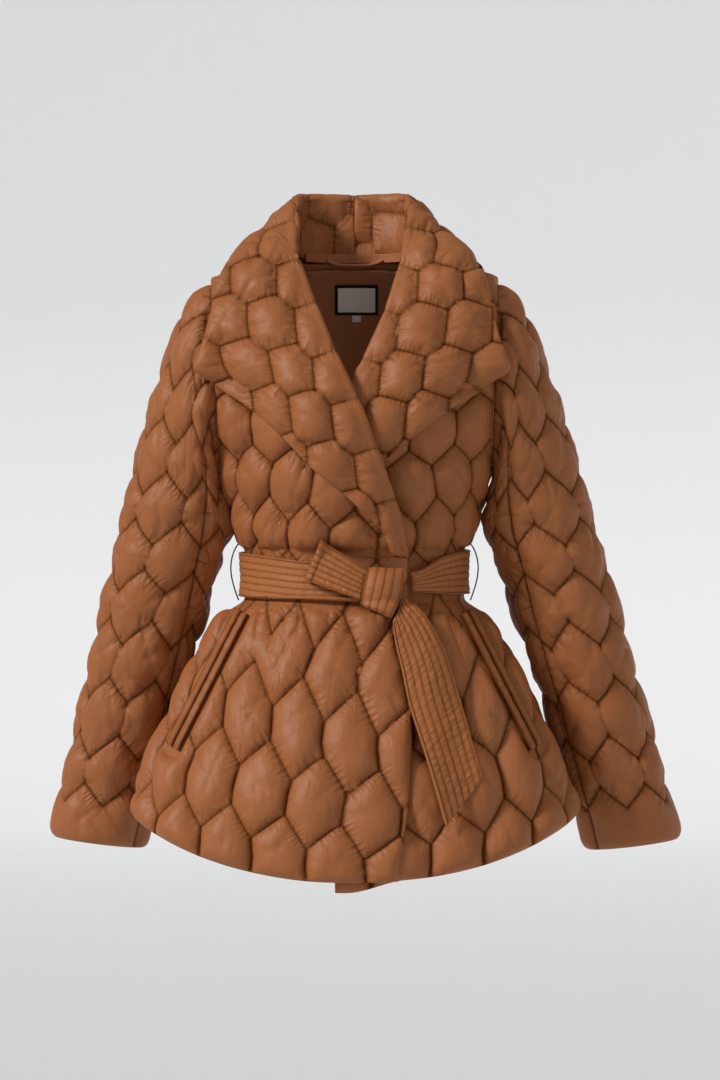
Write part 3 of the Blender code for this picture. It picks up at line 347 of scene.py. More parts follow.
# Where the belt and the welts press on the cloth, where the belt gathers it, with how much more
# cloth, how high the folds are and how fast they fade, and how far the necks open on the bodice.
WAIST_PRESS = ((-0.398, -0.384), (-0.326, -0.312))
WELT_PRESS = (0.009, 0.017)
GATHER_LEVELS = (-0.392, -0.322)
GATHER_CUT = 0.16
GATHER_FOLD = 0.0042
GATHER_FADE = 0.020
SKIRT_NECKS = 0.06
BODICE_NECKS = 0.45
NECKS_OPEN = (-0.360, -0.300)
SWELL_HEIGHTS = ((-0.335, -0.295), (-0.262, -0.240))
SWELL_REACH = (0.015, 0.050)
ROW_CROWDING = 0.22
# How flat the collar is drawn, each with the share and the distances from the roll over which it
# fades: on the stand, at the nape, where it also fades along the collar, and on the roll itself.
CALM_STAND = (0.35, -0.024, -0.004)
CALM_NAPE = (0.35, 0.014, 0.034)
CALM_NAPE_ALONG = (0.055, 0.105)
CALM_ROLL = (0.72, 0.006, 0.024)
CALM_LEVEL = -0.0012
UPRIGHT_FOLD = 0.0005

# Grid lines: heights below, beside and above the armhole, and the other pieces' lines.
INNER_STEP = 4
PANEL_ROWS = (224, 137, 36)
FRONT_LINES = 181
BACK_LINES = 101
SLEEVE_RINGS = 257
UPPER_LINES = 137
UNDER_LINES = 77
COLLAR_RINGS = 321

# Belt: channels, the share of the width that is piping at each edge, the heights of the piping and
# of a channel's dome, how deep the whole band is sunk, its puckers with their heights and lengths,
# the width of the shade painted beside a stitched line, and the short end: top and foot of its far
# edge and of its edge at the knot, and the width of its turned-over edge.
BELT_CHANNELS = 6
KNOT_CHANNELS = 4
PIPING = 0.045
PIPING_RISE = 0.0017
CHANNEL_DOME = 0.0009
BAND_SINK = 0.0012
FINE_PUCKER = (0.00050, 0.0028)
BROAD_PUCKER = (0.00020, 0.0120)
STITCH_PAINTED_SHADE = 0.0012
SHORT_END_FAR = ((-0.0364, -0.3114), (-0.0543, -0.3550))
SHORT_END_KNOT = ((0.0138, -0.3435), (0.0058, -0.3765))
END_TURN = 0.0075

# The studio: a pale floor, square with round corners, turned up at its edge; lamps as the way to
# each from the coat, its strength, its spread in degrees and its tint; the air's colour and
# strength; and the camera.
FLOOR_LEVEL = -1.35
FLOOR_POWER = 8
FLOOR_REACH = 8.0
FLOOR_TURN = 2.0
FLOOR_RIM = 4.3
LAMPS = {
    "key_light": ((-0.72, -0.42, 0.55), 2.60, 14.0, "#FFFDFB"),
    "fill_light": ((0.30, -0.92, 0.25), 0.62, 50.0, "#FFFFFF"),
    "top_light": ((0.05, -0.05, 1.0), 0.45, 60.0, "#FFFFFF"),
}
LAMP_DISTANCE = 4
AIR = ("#EEF0F0", 0.12)
CAMERA_PLACE = (0.00616, -4.0, -0.31136)
CAMERA_LENS = 119.05


# ---------------------------------------------------------------- small helpers
def column(table, names, name):
    """One named column of a table as an array."""
    return np.array([row[names.index(name)] for row in table], dtype=float)


def smooth(knots, values, where):
    """Smooth curve through (knots, values) that never overshoots, knots rising."""
    where = np.clip(where, knots[0], knots[-1])
    secants = np.diff(values) / np.diff(knots)
    slopes = np.concatenate([secants[:1], (secants[1:] + secants[:-1]) / 2, secants[-1:]])
    product = secants[1:] * secants[:-1]
    total = np.where(product > 0, secants[1:] + secants[:-1], 1.0)
    slopes[1:-1] = np.where(product > 0, 2 * product / total, 0.0)
    index = np.clip(np.searchsorted(knots, where, side="right") - 1, 0, len(knots) - 2)
    span = knots[index + 1] - knots[index]
    t = (where - knots[index]) / span
    rise = values[index + 1] - values[index]
    start = slopes[index] * span
    end = slopes[index + 1] * span
    return (values[index] + start * t + (3 * rise - 2 * start - end) * t ** 2
            + (start + end - 2 * rise) * t ** 3)


def ramp(value, low, high):
    """0 below low, 1 above high, smooth between."""
    t = np.clip((value - low) / (high - low), 0.0, 1.0)
    return t * t * (3 - 2 * t)


def unit(vectors):
    """Vectors scaled to length one."""
    vectors = np.asarray(vectors, dtype=float)
    return vectors / np.maximum(np.linalg.norm(vectors, axis=-1, keepdims=True), 1e-12)


def grid_normals(points):
    """Unit normals of a grid: the cross product of its two directions."""
    return unit(np.cross(np.gradient(points, axis=0), np.gradient(points, axis=1)))


def run_along(points, axis):
    """Distance along a grid's lines from their start, and to their end."""
    steps = np.linalg.norm(np.diff(points, axis=axis), axis=2)
    shape = [points.shape[0], points.shape[1]]
    shape[axis] = 1
    run = np.concatenate([np.zeros(shape), np.cumsum(steps, axis=axis)], axis=axis)
    return run, run.take([-1], axis=axis) - run


def lattice_noise(u, v, size_u, size_v, seed):
    """Smooth noise from -1 to 1: random values on a lattice, eased between its points."""
    tall, wide = LATTICE
    values = np.random.default_rng(seed).uniform(-1.0, 1.0, LATTICE)
    a, b = u / size_u + LATTICE_SHIFT, v / size_v + LATTICE_SHIFT
    i, j = np.floor(a).astype(int), np.floor(b).astype(int)
    s, t = a - i, b - j
    s, t = s * s * (3 - 2 * s), t * t * (3 - 2 * t)
    i0, i1, j0, j1 = i % tall, (i + 1) % tall, j % wide, (j + 1) % wide
    low = values[i0, j0] * (1 - s) + values[i1, j0] * s
    high = values[i0, j1] * (1 - s) + values[i1, j1] * s
    return low * (1 - t) + high * t


# ---------------------------------------------------------------- the body surface
BODY_HEIGHTS = column(BODY, BODY_COLUMNS, "height")
ARMHOLE_MIDDLE = (np.array(SHOULDER_POINT) + np.array(UNDERARM_POINT)) / 2
ARMHOLE_HALF = (np.array(SHOULDER_POINT) - np.array(UNDERARM_POINT)) / 2


def armhole_at(height):
    """X and depth in Y of the armhole's oval edge at a height."""
    level = np.clip((height - ARMHOLE_MIDDLE[1]) / ARMHOLE_HALF[1], -1.0, 1.0)
    return ARMHOLE_MIDDLE[0] + ARMHOLE_HALF[0] * level, ARMHOLE_DEPTH * np.sqrt(1 - level ** 2)


def section(height, face):
    """Half width, depth and middle of the body's oval at a height, face -1 front, +1 back."""
    height = np.asarray(height, dtype=float)
    depth = smooth(BODY_HEIGHTS, column(BODY, BODY_COLUMNS, "front" if face < 0 else "back"), height)
    middle = smooth(BODY_HEIGHTS, column(BODY, BODY_COLUMNS, "middle"), height)
    half = smooth(BODY_HEIGHTS, column(BODY, BODY_COLUMNS, "half_width"), height)
    arm_x, arm_y = armhole_at(height)
    through = arm_x / (1 - (arm_y / depth) ** OVAL_POWER) ** (1 / OVAL_POWER)
    shoulder = SHOULDER_POINT[0] + (NECK_RING_HALF - SHOULDER_POINT[0]) * (
        (height - SHOULDER_POINT[1]) / (NECK_RING - SHOULDER_POINT[1]))
    half = np.where(height > UNDERARM, through, half)
    half = np.where(height > SHOULDER_POINT[1], shoulder, half)
    return half, depth, middle


def front_y(x, height):
    """Y of the body's front at X and height, level past the armhole's edge."""
    half, depth, middle = section(height, -1)
    ratio = np.clip(np.abs(x) / half, 0.0, 0.985)
    return middle - depth * (1 - ratio ** OVAL_POWER) ** (1 / OVAL_POWER)


def body_point(angle, height, face):
    """Point and outward normal at an angle round the oval: the oval's cosine and sine raised to
    2 / power, its rows sagging towards the middle below the waist."""
    angle, height = np.broadcast_arrays(np.asarray(angle, float), np.asarray(height, float))
    reach = np.abs(np.cos(angle)) ** (2 / OVAL_POWER)
    sag = HEM_DROP * (1 - reach ** HEM_POWER) * ramp(WAIST - height, 0.02, WAIST - HEM_SIDE)
    level = height - sag
    half, depth, middle = section(level, face)
    x = half * np.sign(np.cos(angle)) * reach
    y = middle + face * depth * np.abs(np.sin(angle)) ** (2 / OVAL_POWER)
    step = 0.002
    half_up, depth_up, middle_up = section(level + step, face)
    half_down, depth_down, middle_down = section(level - step, face)
    gx = OVAL_POWER * np.abs(x / half) ** (OVAL_POWER - 1) / half * np.sign(x)
    gy = OVAL_POWER * np.abs((y - middle) / depth) ** (OVAL_POWER - 1) / depth * face
    above = np.abs(x / half_up) ** OVAL_POWER + np.abs((y - middle_up) / depth_up) ** OVAL_POWER
    below = np.abs(x / half_down) ** OVAL_POWER + np.abs((y - middle_down) / depth_down) ** OVAL_POWER
    normal = unit(np.stack([gx, gy, (above - below) / (2 * step)], axis=-1))
    return np.stack([x, y, level], axis=-1), normal


def side_angle(height, face):
    """Angle of a panel's outer edge: the side seam, the armhole or the shoulder seam."""
    half, _, _ = section(height, face)
    inside = (height > UNDERARM) & (height < SHOULDER_POINT[1])
    reach = np.clip(armhole_at(height)[0] / half, 0.0, 1.0) ** (OVAL_POWER / 2)
    return np.where(inside, np.arccos(reach), 0.0)


def edge_angle(x, height, face, side):
    """Angle at which the oval at this height has this X, measured from the side."""
    ratio = np.clip(side * x / section(height, face)[0], -0.999, 0.999)
    return np.arccos(np.sign(ratio) * np.abs(ratio) ** (OVAL_POWER / 2))


def lapel_stack(x, height):
    """How far the overlap stands off the body: over the underlap, and over its lapel too."""
    rise = PANEL_STACK + (LAPEL_STACK - PANEL_STACK) * ramp(height, -0.330, -0.298)
    return rise * ramp(x, -0.120, -0.036) * (1 - ramp(height, -0.155, -0.045))


def front_inner_x(which, height):
    """X of the free edge of a front: its own edge below the waist, the lapel's roll above."""
    heights = column(FRONT_EDGE, EDGE_COLUMNS, "height")
    below = np.interp(height, heights, column(FRONT_EDGE, EDGE_COLUMNS,
                                              "overlap" if which == "right" else "underlap"))
    table, side = (COLLAR_RIGHT, -1) if which == "right" else (COLLAR_LEFT, 1)
    roll_z = column(table, COLLAR_COLUMNS, "roll_z")[CHEST_FROM:][::-1]
    roll_x = column(table, COLLAR_COLUMNS, "roll_x")[CHEST_FROM:][::-1]
    above = side * (np.interp(height, roll_z, roll_x) + FOLD_SETBACK)
    return np.where(height < roll_z[0], below, above)


# ---------------------------------------------------------------- quilting
def named_rows(table, names, foot="foot", mirrored=False):
    """A table of stitched rows as dictionaries, with the foot column that is asked for."""
    rows = [dict(zip(names, line)) for line in table]
    for row in rows:
        row["foot"] = row[foot]
        row["mirrored"] = mirrored
    return rows


def row_height(row, u, share):
    """Height of a row at u where its zigzag is at a share of its swing. A mirrored row falls away
    on both sides of u = 0."""
    place = np.abs(u) - SLEEVE_MIDDLE if row["mirrored"] else u
    return row["level"] + row["slope"] * place + row["swing"] * (share - 0.5)


def fixed_noise(number, seed):
    """A fixed value from -1 to 1 for each whole number."""
    value = np.sin(number * 12.9898 + seed * 78.233) * 43758.5453
    return 2 * (value - np.floor(value)) - 1


def no_spots(shape):
    """Nothing found yet: every point is far from any line."""
    return {"away": np.full(shape, 1.0), "u": np.zeros(shape), "v": np.zeros(shape),
            "along": np.zeros(shape), "share": np.zeros(shape)}


def keep_nearest(found, u, v, start, end, along, shares=(0.0, 1.0), allowed=True):
    """Nearest spots so far on straight runs from start to end, each a pair of arrays."""
    du, dv = end[0] - start[0], end[1] - start[1]
    t = np.clip(((u - start[0]) * du + (v - start[1]) * dv) / (du * du + dv * dv + 1e-12), 0.0, 1.0)
    spot_u, spot_v = start[0] + t * du, start[1] + t * dv
    away = np.where(allowed, np.hypot(u - spot_u, v - spot_v), 1.0)
    closer = away < found["away"]
    news = {"away": away, "u": spot_u, "v": spot_v, "along": along + t * np.hypot(du, dv),
            "share": shares[0] + (shares[1] - shares[0]) * t}
    for key, value in news.items():
        found[key] = np.where(closer, value, found[key])


def find_row(found, row, index, u, v):
    """Nearest spots on one zigzag row: its straight runs in the turns beside each point."""
    turn, split = row["turn"], row["split"]
    first = np.floor((u - row["foot"]) / turn)
    for step in (-1.0, 0.0, 1.0):
        foot = row["foot"] + (first + step) * turn
        top, after = foot + split * turn, foot + turn
        corners = [(place, row_height(row, place, share)) for place, share in
                   ((foot, 0.0), (top, 1.0), (after, 0.0))]
        keep_nearest(found, u, v, corners[0], corners[1], foot * 1.2 + 0.37 * index)
        keep_nearest(found, u, v, corners[1], corners[2], top * 1.2 + 0.37 * index)


def find_necks(found, upper, lower, index, u, v):
    """Nearest spots on the pinched creases from the upper row's feet to the lower row's tops,
    each bent a little to one side."""
    turn, split = lower["turn"], lower["split"]
    count = np.round((u - lower["foot"]) / turn - split)
    for step in (-1.0, 0.0, 1.0):
        number = count + step
        top = lower["foot"] + (number + split) * turn
        foot = upper["foot"] + np.round((top - upper["foot"]) / upper["turn"]) * upper["turn"]
        low = (top, row_height(lower, top, 1.0))
        high = (foot, row_height(upper, foot, 0.0))
        part = 0.5 + 0.15 * fixed_noise(number, index + 40)
        bend = NECK_BEND * fixed_noise(number, index)
        middle = (low[0] + (high[0] - low[0]) * part + bend, low[1] + (high[1] - low[1]) * part)
        facing = np.abs(top - foot) < 0.30 * turn
        keep_nearest(found, u, v, low, middle, number, (0.0, 0.5), facing)
        keep_nearest(found, u, v, middle, high, number, (0.5, 1.0), facing)


def stitching(u, v, rows, seed):
    """Nearest spots on the rows and on the necks, on cloth drawn a little out of true."""
    crooked_u = u + NEEDLE_DRIFT * lattice_noise(u, v, 0.050, 0.050, seed + 11)
    crooked_v = v + NEEDLE_DRIFT * lattice_noise(u, v, 0.045, 0.050, seed + 12)
    on_rows, on_necks = no_spots(u.shape), no_spots(u.shape)
    for index, row in enumerate(rows):
        find_row(on_rows, row, index, crooked_u, crooked_v)
    for index, (upper, lower) in enumerate(zip(rows, rows[1:])):
        find_necks(on_necks, upper, lower, index, crooked_u, crooked_v)
    return crooked_u, crooked_v, on_rows, on_necks


def slide(grid, down, right):
    """A grid read between its points, each moved by a part of a row and of a column."""
    rows, cols = down.shape
    i = np.clip(np.arange(rows)[:, None] + down, 0, rows - 1)
    j = np.clip(np.arange(cols)[None] + right, 0, cols - 1)
    i0, j0 = np.minimum(i.astype(int), rows - 2), np.minimum(j.astype(int), cols - 2)
    s, t = i - i0, j - j0
    if grid.ndim == 3:
        s, t = s[..., None], t[..., None]
    return ((grid[i0, j0] * (1 - t) + grid[i0, j0 + 1] * t) * (1 - s)
            + (grid[i0 + 1, j0] * (1 - t) + grid[i0 + 1, j0 + 1] * t) * s)


def onto_lines(grids, u, v, rows, seed):
    """Grids moved so that the points within half a cell of a row or neck lie on it."""
    crooked_u, crooked_v, on_rows, on_necks = stitching(u, v, rows, seed)
    u_down, u_right = np.gradient(crooked_u)
    v_down, v_right = np.gradient(crooked_v)
    spread = u_down * v_right - u_right * v_down
    spread = np.where(np.abs(spread) < 1e-12, 1e-12, spread)
    down, right = np.zeros(u.shape), np.zeros(u.shape)
    taken = np.zeros(u.shape, dtype=bool)
    for spots in (on_rows, on_necks):
        du, dv = spots["u"] - crooked_u, spots["v"] - crooked_v
        rise, cross = (du * v_right - dv * u_right) / spread, (dv * u_down - du * v_down) / spread
        close = (np.abs(rise) < 0.5) & (np.abs(cross) < 0.5) & (spots["away"] < 0.9) & ~taken
        down, right = np.where(close, rise, down), np.where(close, cross, right)
        taken |= close
    down[[0, -1]] = 0.0
    right[:, [0, -1]] = 0.0
    return [slide(grid, down, right) for grid in grids]


def draw_together(points, first, second, rest, pull, free):
    """Pairs of neighbours moved towards their cut length, stitched points staying put."""
    step = points[second] - points[first]
    length = np.maximum(np.sqrt((step * step).sum(axis=-1)), 1e-7)
    slack = np.where(length > rest, pull, SLACK_PULL * pull)
    share = free[first] + free[second]
    move = step * (slack * (length - rest) / length / np.maximum(share, 1e-6))[..., None]
    points[first] += move * free[first][..., None]
    points[second] -= move * free[second][..., None]


def neighbours(shape, kind):
    """Slices of the grid's points and of their neighbours along, up, falling or rising, so that no
    point comes twice in one pair of slices."""
    all_but_last, all_but_first = slice(None, -1), slice(1, None)
    for start in (0, 1):
        count = (shape[kind == "along"] - start) // 2
        low, high = slice(start, start + 2 * count, 2), slice(start + 1, start + 1 + 2 * count, 2)
        yield {"along": ((slice(None), low), (slice(None), high)),
               "up": ((low, slice(None)), (high, slice(None))),
               "falling": ((low, all_but_last), (high, all_but_first)),
               "rising": ((low, all_but_first), (high, all_but_last))}[kind]


def settle(points, base, normal, ease_along, ease_up, free):
    """Cloth between its stitches, blown out and left to find its folds.

    Each round pushes the free points out along the cloth's normal, then draws neighbouring points
    along rows, columns and diagonals towards the length they were cut to, softens the sharpest
    bends, and keeps each point's lift between the seams' depth and PUFF_TOP.
    """
    bias = (ease_along + ease_up) / 2
    runs = []
    for kind, ease, pull in (("along", ease_along, GRAIN_PULL), ("up", ease_up, GRAIN_PULL),
                             ("falling", bias, BIAS_PULL), ("rising", bias, BIAS_PULL)):
        for first, second in neighbours(base.shape, kind):
            rest = np.linalg.norm(base[second] - base[first], axis=-1) * (1 + ease[first])
            runs.append((first, second, rest, pull))
    way = normal
    for count in range(ROUNDS):
        if count % 4 == 0:
            way = grid_normals(points)
            way = way * np.sign((way * normal).sum(axis=-1, keepdims=True))
        points += way * (PUSH * free)[..., None]
        for first, second, rest, pull in runs:
            draw_together(points, first, second, rest, pull, free)
        middle = points[1:-1, 1:-1]
        around = (points[2:, 1:-1] + points[:-2, 1:-1] + points[1:-1, 2:] + points[1:-1, :-2]) / 4
        middle += (around - middle) * (SOFTNESS * free[1:-1, 1:-1])[..., None]
        lift = ((points - base) * normal).sum(axis=-1)
        points += normal * (np.clip(lift, -SEAM_SINK - 0.0005, PUFF_TOP) - lift)[..., None]
    return points


def creased(noise):
    """Smooth noise turned into cloth drawn up in narrow valleys, -1 in a valley and 0 between."""
    return -(1 - np.abs(noise)) ** 3


def drawn_creases(where, across, crease, reach_from, seed):
    """Creases drawn in from a stitched line or a neck: valleys square to it that fade away."""
    height, spacing, length, reach = crease
    valleys = creased(lattice_noise(where, across, spacing, length, seed))
    return height * valleys * np.exp(-reach_from / reach)


def first_shape(u, v, on_rows, on_necks, borders, neck_open, loft, seed):
    """Height of the cloth over its stitches before it settles.

    A steep flank, 1 - e^(-d / FLANK), and an arc, 1 - (1 - d / PUFF_REACH)^2 to the power
    PUFF_POWER, where d is the power mean of -3 of the distances to rows and seams. A neck cuts a
    narrow crease and a broad dip into it, deepest where it meets the rows, and drawn creases start
    at the stitches, run out square to them and fade.
    """
    nearest = on_rows["away"]
    total = (nearest + 2e-4) ** -3
    for away in borders:
        total = total + (away + 2e-4) ** -3
        nearest = np.minimum(nearest, away)
    inward = total ** (-1 / 3)
    t = np.clip(inward / PUFF_REACH, 0.0, 1.0)
    arc = (1 - (1 - t) ** 2) ** PUFF_POWER
    rise = FLANK_SHARE * (1 - np.exp(-inward / FLANK)) + (1 - FLANK_SHARE) * arc
    plump = 1 + PUFF_UNEVEN * lattice_noise(u, v, 0.048, 0.052, seed + 1)
    depth = neck_depth(on_necks, neck_open)
    from_neck = on_necks["away"]
    crease = (NECK_CORE[0] * np.exp(-from_neck / NECK_CORE[1])
              + NECK_DIP[0] * np.exp(-(from_neck / NECK_DIP[1]) ** 2))
    height = PUFF * loft * rise * plump * (1 - depth * crease)
    clear = 1 - np.exp(-nearest / CREASE_CLEAR)
    folds = drawn_creases(on_rows["along"], nearest, SHORT_CREASE, nearest, seed + 2)
    folds = folds + drawn_creases(on_rows["along"], nearest, LONG_CREASE, nearest, seed + 3)
    pinch = drawn_creases(from_neck, on_necks["share"], PINCH_CREASE, from_neck, seed + 5)
    folds = folds + pinch * (0.35 + 0.65 * depth)
    slack_height, slack_spacing, slack_length = SLACK_CREASE
    slack = lattice_noise(u + 0.5 * v, v - 0.3 * u, slack_spacing, slack_length, seed + 4)
    return height + (folds + slack_height * creased(slack)) * clear, nearest


def neck_depth(on_necks, neck_open):
    """How much of the puff a neck takes away: all of it at its ends, less between them."""
    return 1 - neck_open * np.minimum(1.0, 1.8 * np.sin(math.pi * on_necks["share"]))


# ---------------------------------------------------------------- meshes
def closed_shell(name, outer, inner, finishes, layers, flip=False):
    """A closed wall: a fine outer grid, an inner grid with one cell for INNER_STEP by INNER_STEP
    outer ones, and a rim of small fans between their borders. layers are values kept per outer
    point, or one for all, each with its name and its value on the inner wall."""
    rows, cols = outer.shape[:2]
    low_rows, low_cols = inner.shape[:2]
    place = np.arange(rows * cols).reshape(rows, cols)
    back = np.arange(low_rows * low_cols).reshape(low_rows, low_cols) + rows * cols
    fine = np.stack([place[:-1, :-1], place[:-1, 1:], place[1:, 1:], place[1:, :-1]], axis=-1)
    coarse = np.stack([back[:-1, :-1], back[1:, :-1], back[1:, 1:], back[:-1, 1:]], axis=-1)
    fine, coarse = fine.reshape(-1, 4), coarse.reshape(-1, 4)
    rim = []
    borders = ((place[0], back[0]), (place[:, -1], back[:, -1]),
               (place[-1, ::-1], back[-1, ::-1]), (place[::-1, 0], back[::-1, 0]))
    for fine_line, coarse_line in borders:
        for step in range(len(coarse_line) - 1):
            run = fine_line[step * INNER_STEP:(step + 1) * INNER_STEP + 1]
            rim.append([*run[::-1].tolist(), int(coarse_line[step]), int(coarse_line[step + 1])])
    faces = fine.tolist() + coarse.tolist() + rim
    if flip:
        faces = [face[::-1] for face in faces]
    mesh = bpy.data.meshes.new(name)
    mesh.from_pydata(np.concatenate([outer.reshape(-1, 3), inner.reshape(-1, 3)]).tolist(), [], faces)
    finish_index = np.zeros(len(faces), dtype=np.int32)
    finish_index[len(fine):len(fine) + len(coarse)] = len(finishes) - 1
    for finish in finishes:
        mesh.materials.append(finish)
    mesh.polygons.foreach_set("material_index", finish_index)
    mesh.polygons.foreach_set("use_smooth", np.ones(len(faces), dtype=bool))
    for label, values, behind in layers:
        kept = np.full(rows * cols + low_rows * low_cols, behind, dtype=np.float32)
        kept[:rows * cols] = np.broadcast_to(values, (rows, cols)).ravel()
        mesh.attributes.new(label, "FLOAT", "POINT").data.foreach_set("value", kept)
    mesh.validate()
    mesh.update()
    piece = bpy.data.objects.new(name, mesh)
    bpy.context.scene.collection.objects.link(piece)
    return piece


def coarse_grid(grid):
    """The points of a grid that the inner wall keeps."""
    return grid[::INNER_STEP, ::INNER_STEP]


def add_cloth_map(piece, u, v):
    """A UV map of the cloth, outside and inside, in decimetres along and across its grain."""
    mesh = piece.data
    across, up = (10 * np.concatenate([part.ravel(), coarse_grid(part).ravel()])
                  for part in np.broadcast_arrays(u, v))
    corner = np.empty(len(mesh.loops), dtype=np.int32)
    mesh.loops.foreach_get("vertex_index", corner)
    spots = np.stack([across[corner], up[corner]], axis=1).astype(np.float32)
    mesh.uv_layers.new(name="grain").data.foreach_set("uv", spots.ravel())


def dressed(piece, slot, *nodes):
    """Rides on the coat and stands for its solids; slot is not used."""
    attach(piece, "root")
    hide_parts(*nodes)
    return piece


def bordered(lift, wall, away, edges, held):
    """Lift and inner depth of a panel with its free edges rounded and its seams sunk; every point
    on a border is held."""
    lines = {"first_row": np.s_[0], "last_row": np.s_[-1],
             "first_col": np.s_[:, 0], "last_col": np.s_[:, -1]}
    back = np.full(lift.shape, -wall)
    for side, kind in edges.items():
        if kind == "free":
            t = np.clip(away[side] / EDGE_ROUND, 0.0, 1.0)
            share = np.sqrt(1 - (1 - t) ** 2)
            lift = lift * share + (1 - share) * (EDGE_GAP - wall / 2)
            back = back * share + (1 - share) * (-EDGE_GAP - wall / 2)
        if kind == "seam":
            lift[lines[side]] = -SEAM_SINK
        held[lines[side]] = True
    return lift, back


def padded_panel(node, base, normal, u, v, rows, edges, wall, finishes, neck_open, seed,
                 flip=False, press=None, gather=None, calm=None, loft=1.0, sink=SEAM_SINK,
                 ease=0.045):
    """A quilted piece over its solid. edges name each border of the grid seam, free or plain.

    neck_open is how far the cloth lifts between the two ends of a neck, as a share of its puff.
    press is where something lies on the cloth, gather adds cut width and folds, calm flattens,
    loft scales the puffs, sink is the depth of the rows and ease the cloth cut over the solid's own
    size.
    """
    base, normal, u, v = onto_lines((base, normal, u, v), u, v, rows, seed)
    normal = unit(normal)
    _, _, on_rows, on_necks = stitching(u, v, rows, seed)
    down, up = run_along(base, 0)
    right, left = run_along(base, 1)
    away = {"first_row": down, "last_row": up, "first_col": right, "last_col": left}
    borders = [away[side] for side, kind in edges.items() if kind == "seam"]
    height, nearest = first_shape(u, v, on_rows, on_necks, borders, neck_open, loft, seed)
    on_stitch = on_rows["away"] < ON_STITCH
    held = on_stitch | (on_necks["away"] < ON_STITCH)
    lift, back = bordered(np.where(on_stitch, -sink, height - sink), wall, away, edges, held)
    ease_along, ease_up = np.full(u.shape, ease), np.full(u.shape, ease)
    if gather is not None:
        more, fold = gather(base, u)
        ease_along = ease_along + more
        lift = lift + fold * (1 - held)
    if press is not None:
        pressed = press(base)
        lift = lift * (1 - pressed) - PRESS_DEPTH * pressed
        held = held | (pressed > 0.6)
    outer = base + normal * lift[..., None]
    if ROUNDS:
        outer = settle(outer, base, normal, ease_along, ease_up, 1.0 - held)
    quiet = np.zeros(u.shape)
    if calm is not None:
        quiet, level = calm(base)
        raised = ((outer - base) * normal).sum(axis=-1)
        outer = outer + normal * ((level - raised) * quiet)[..., None]
    inner = coarse_grid(base + normal * back[..., None])
    # Painted shade, kept in the seam layer: a dark mixed into the colour beside each stitched line and a
    # stronger one along each neck (pinch), weaker where the cloth is drawn flat.
    seam = SEAM_PAINTED_SHADE[0] * np.exp(-nearest / SEAM_PAINTED_SHADE[1])
    pinch = np.exp(-(on_necks["away"] / NECK_PAINTED_SHADE) ** 2) * neck_depth(on_necks, neck_open)
    piece = closed_shell(f"{node}_quilted", outer, inner, finishes,
                         (("stitch", nearest * 1000 + 3 * quiet ** 2, 40.0),
                          ("seam", np.maximum(seam, pinch) * (1 - 0.8 * quiet), 0.0),
                          ("run", on_rows["along"] * 100, 0.0)), flip)
    add_cloth_map(piece, u, v)
    dressed(piece, "shell", node)
    return piece


def fit(count):
    """A number of grid lines near count whose cells divide evenly by INNER_STEP."""
    return int(round((count - 1) / INNER_STEP)) * INNER_STEP + 1


# ---------------------------------------------------------------- materials
def srgb_to_linear(code):
    """Linear RGBA from a hex colour."""
    values = [int(code[i:i + 2], 16) / 255.0 for i in (1, 3, 5)]
    return (*(v / 12.92 if v <= 0.04045 else ((v + 0.055) / 1.055) ** 2.4 for v in values), 1.0)


def add_node(tree, kind, settings=(), values=(), links=()):
    """A node with its settings, its socket values and its incoming links."""
    node = tree.nodes.new(kind)
    for name, value in dict(settings).items():
        setattr(node, name, value)
    for socket, value in dict(values).items():
        node.inputs[socket].default_value = value
    for socket, source in dict(links).items():
        tree.links.new(source, node.inputs[socket])
    return node


def new_material(name, color, roughness, sheen=0.0, sheen_roughness=0.5, specular=0.5, tint="#FFFFFF"):
    """A Principled material and its tree, shader and plain coordinates."""
    made = bpy.data.materials.new(name)
    made.use_nodes = True
    tree = made.node_tree
    shader = tree.nodes["Principled BSDF"]
    shader.inputs["Base Color"].default_value = srgb_to_linear(color)
    shader.inputs["Roughness"].default_value = roughness
    shader.inputs["Specular IOR Level"].default_value = specular
    shader.inputs["Sheen Weight"].default_value = sheen
    shader.inputs["Sheen Roughness"].default_value = sheen_roughness
    shader.inputs["Sheen Tint"].default_value = srgb_to_linear(tint)
    return made, tree, shader


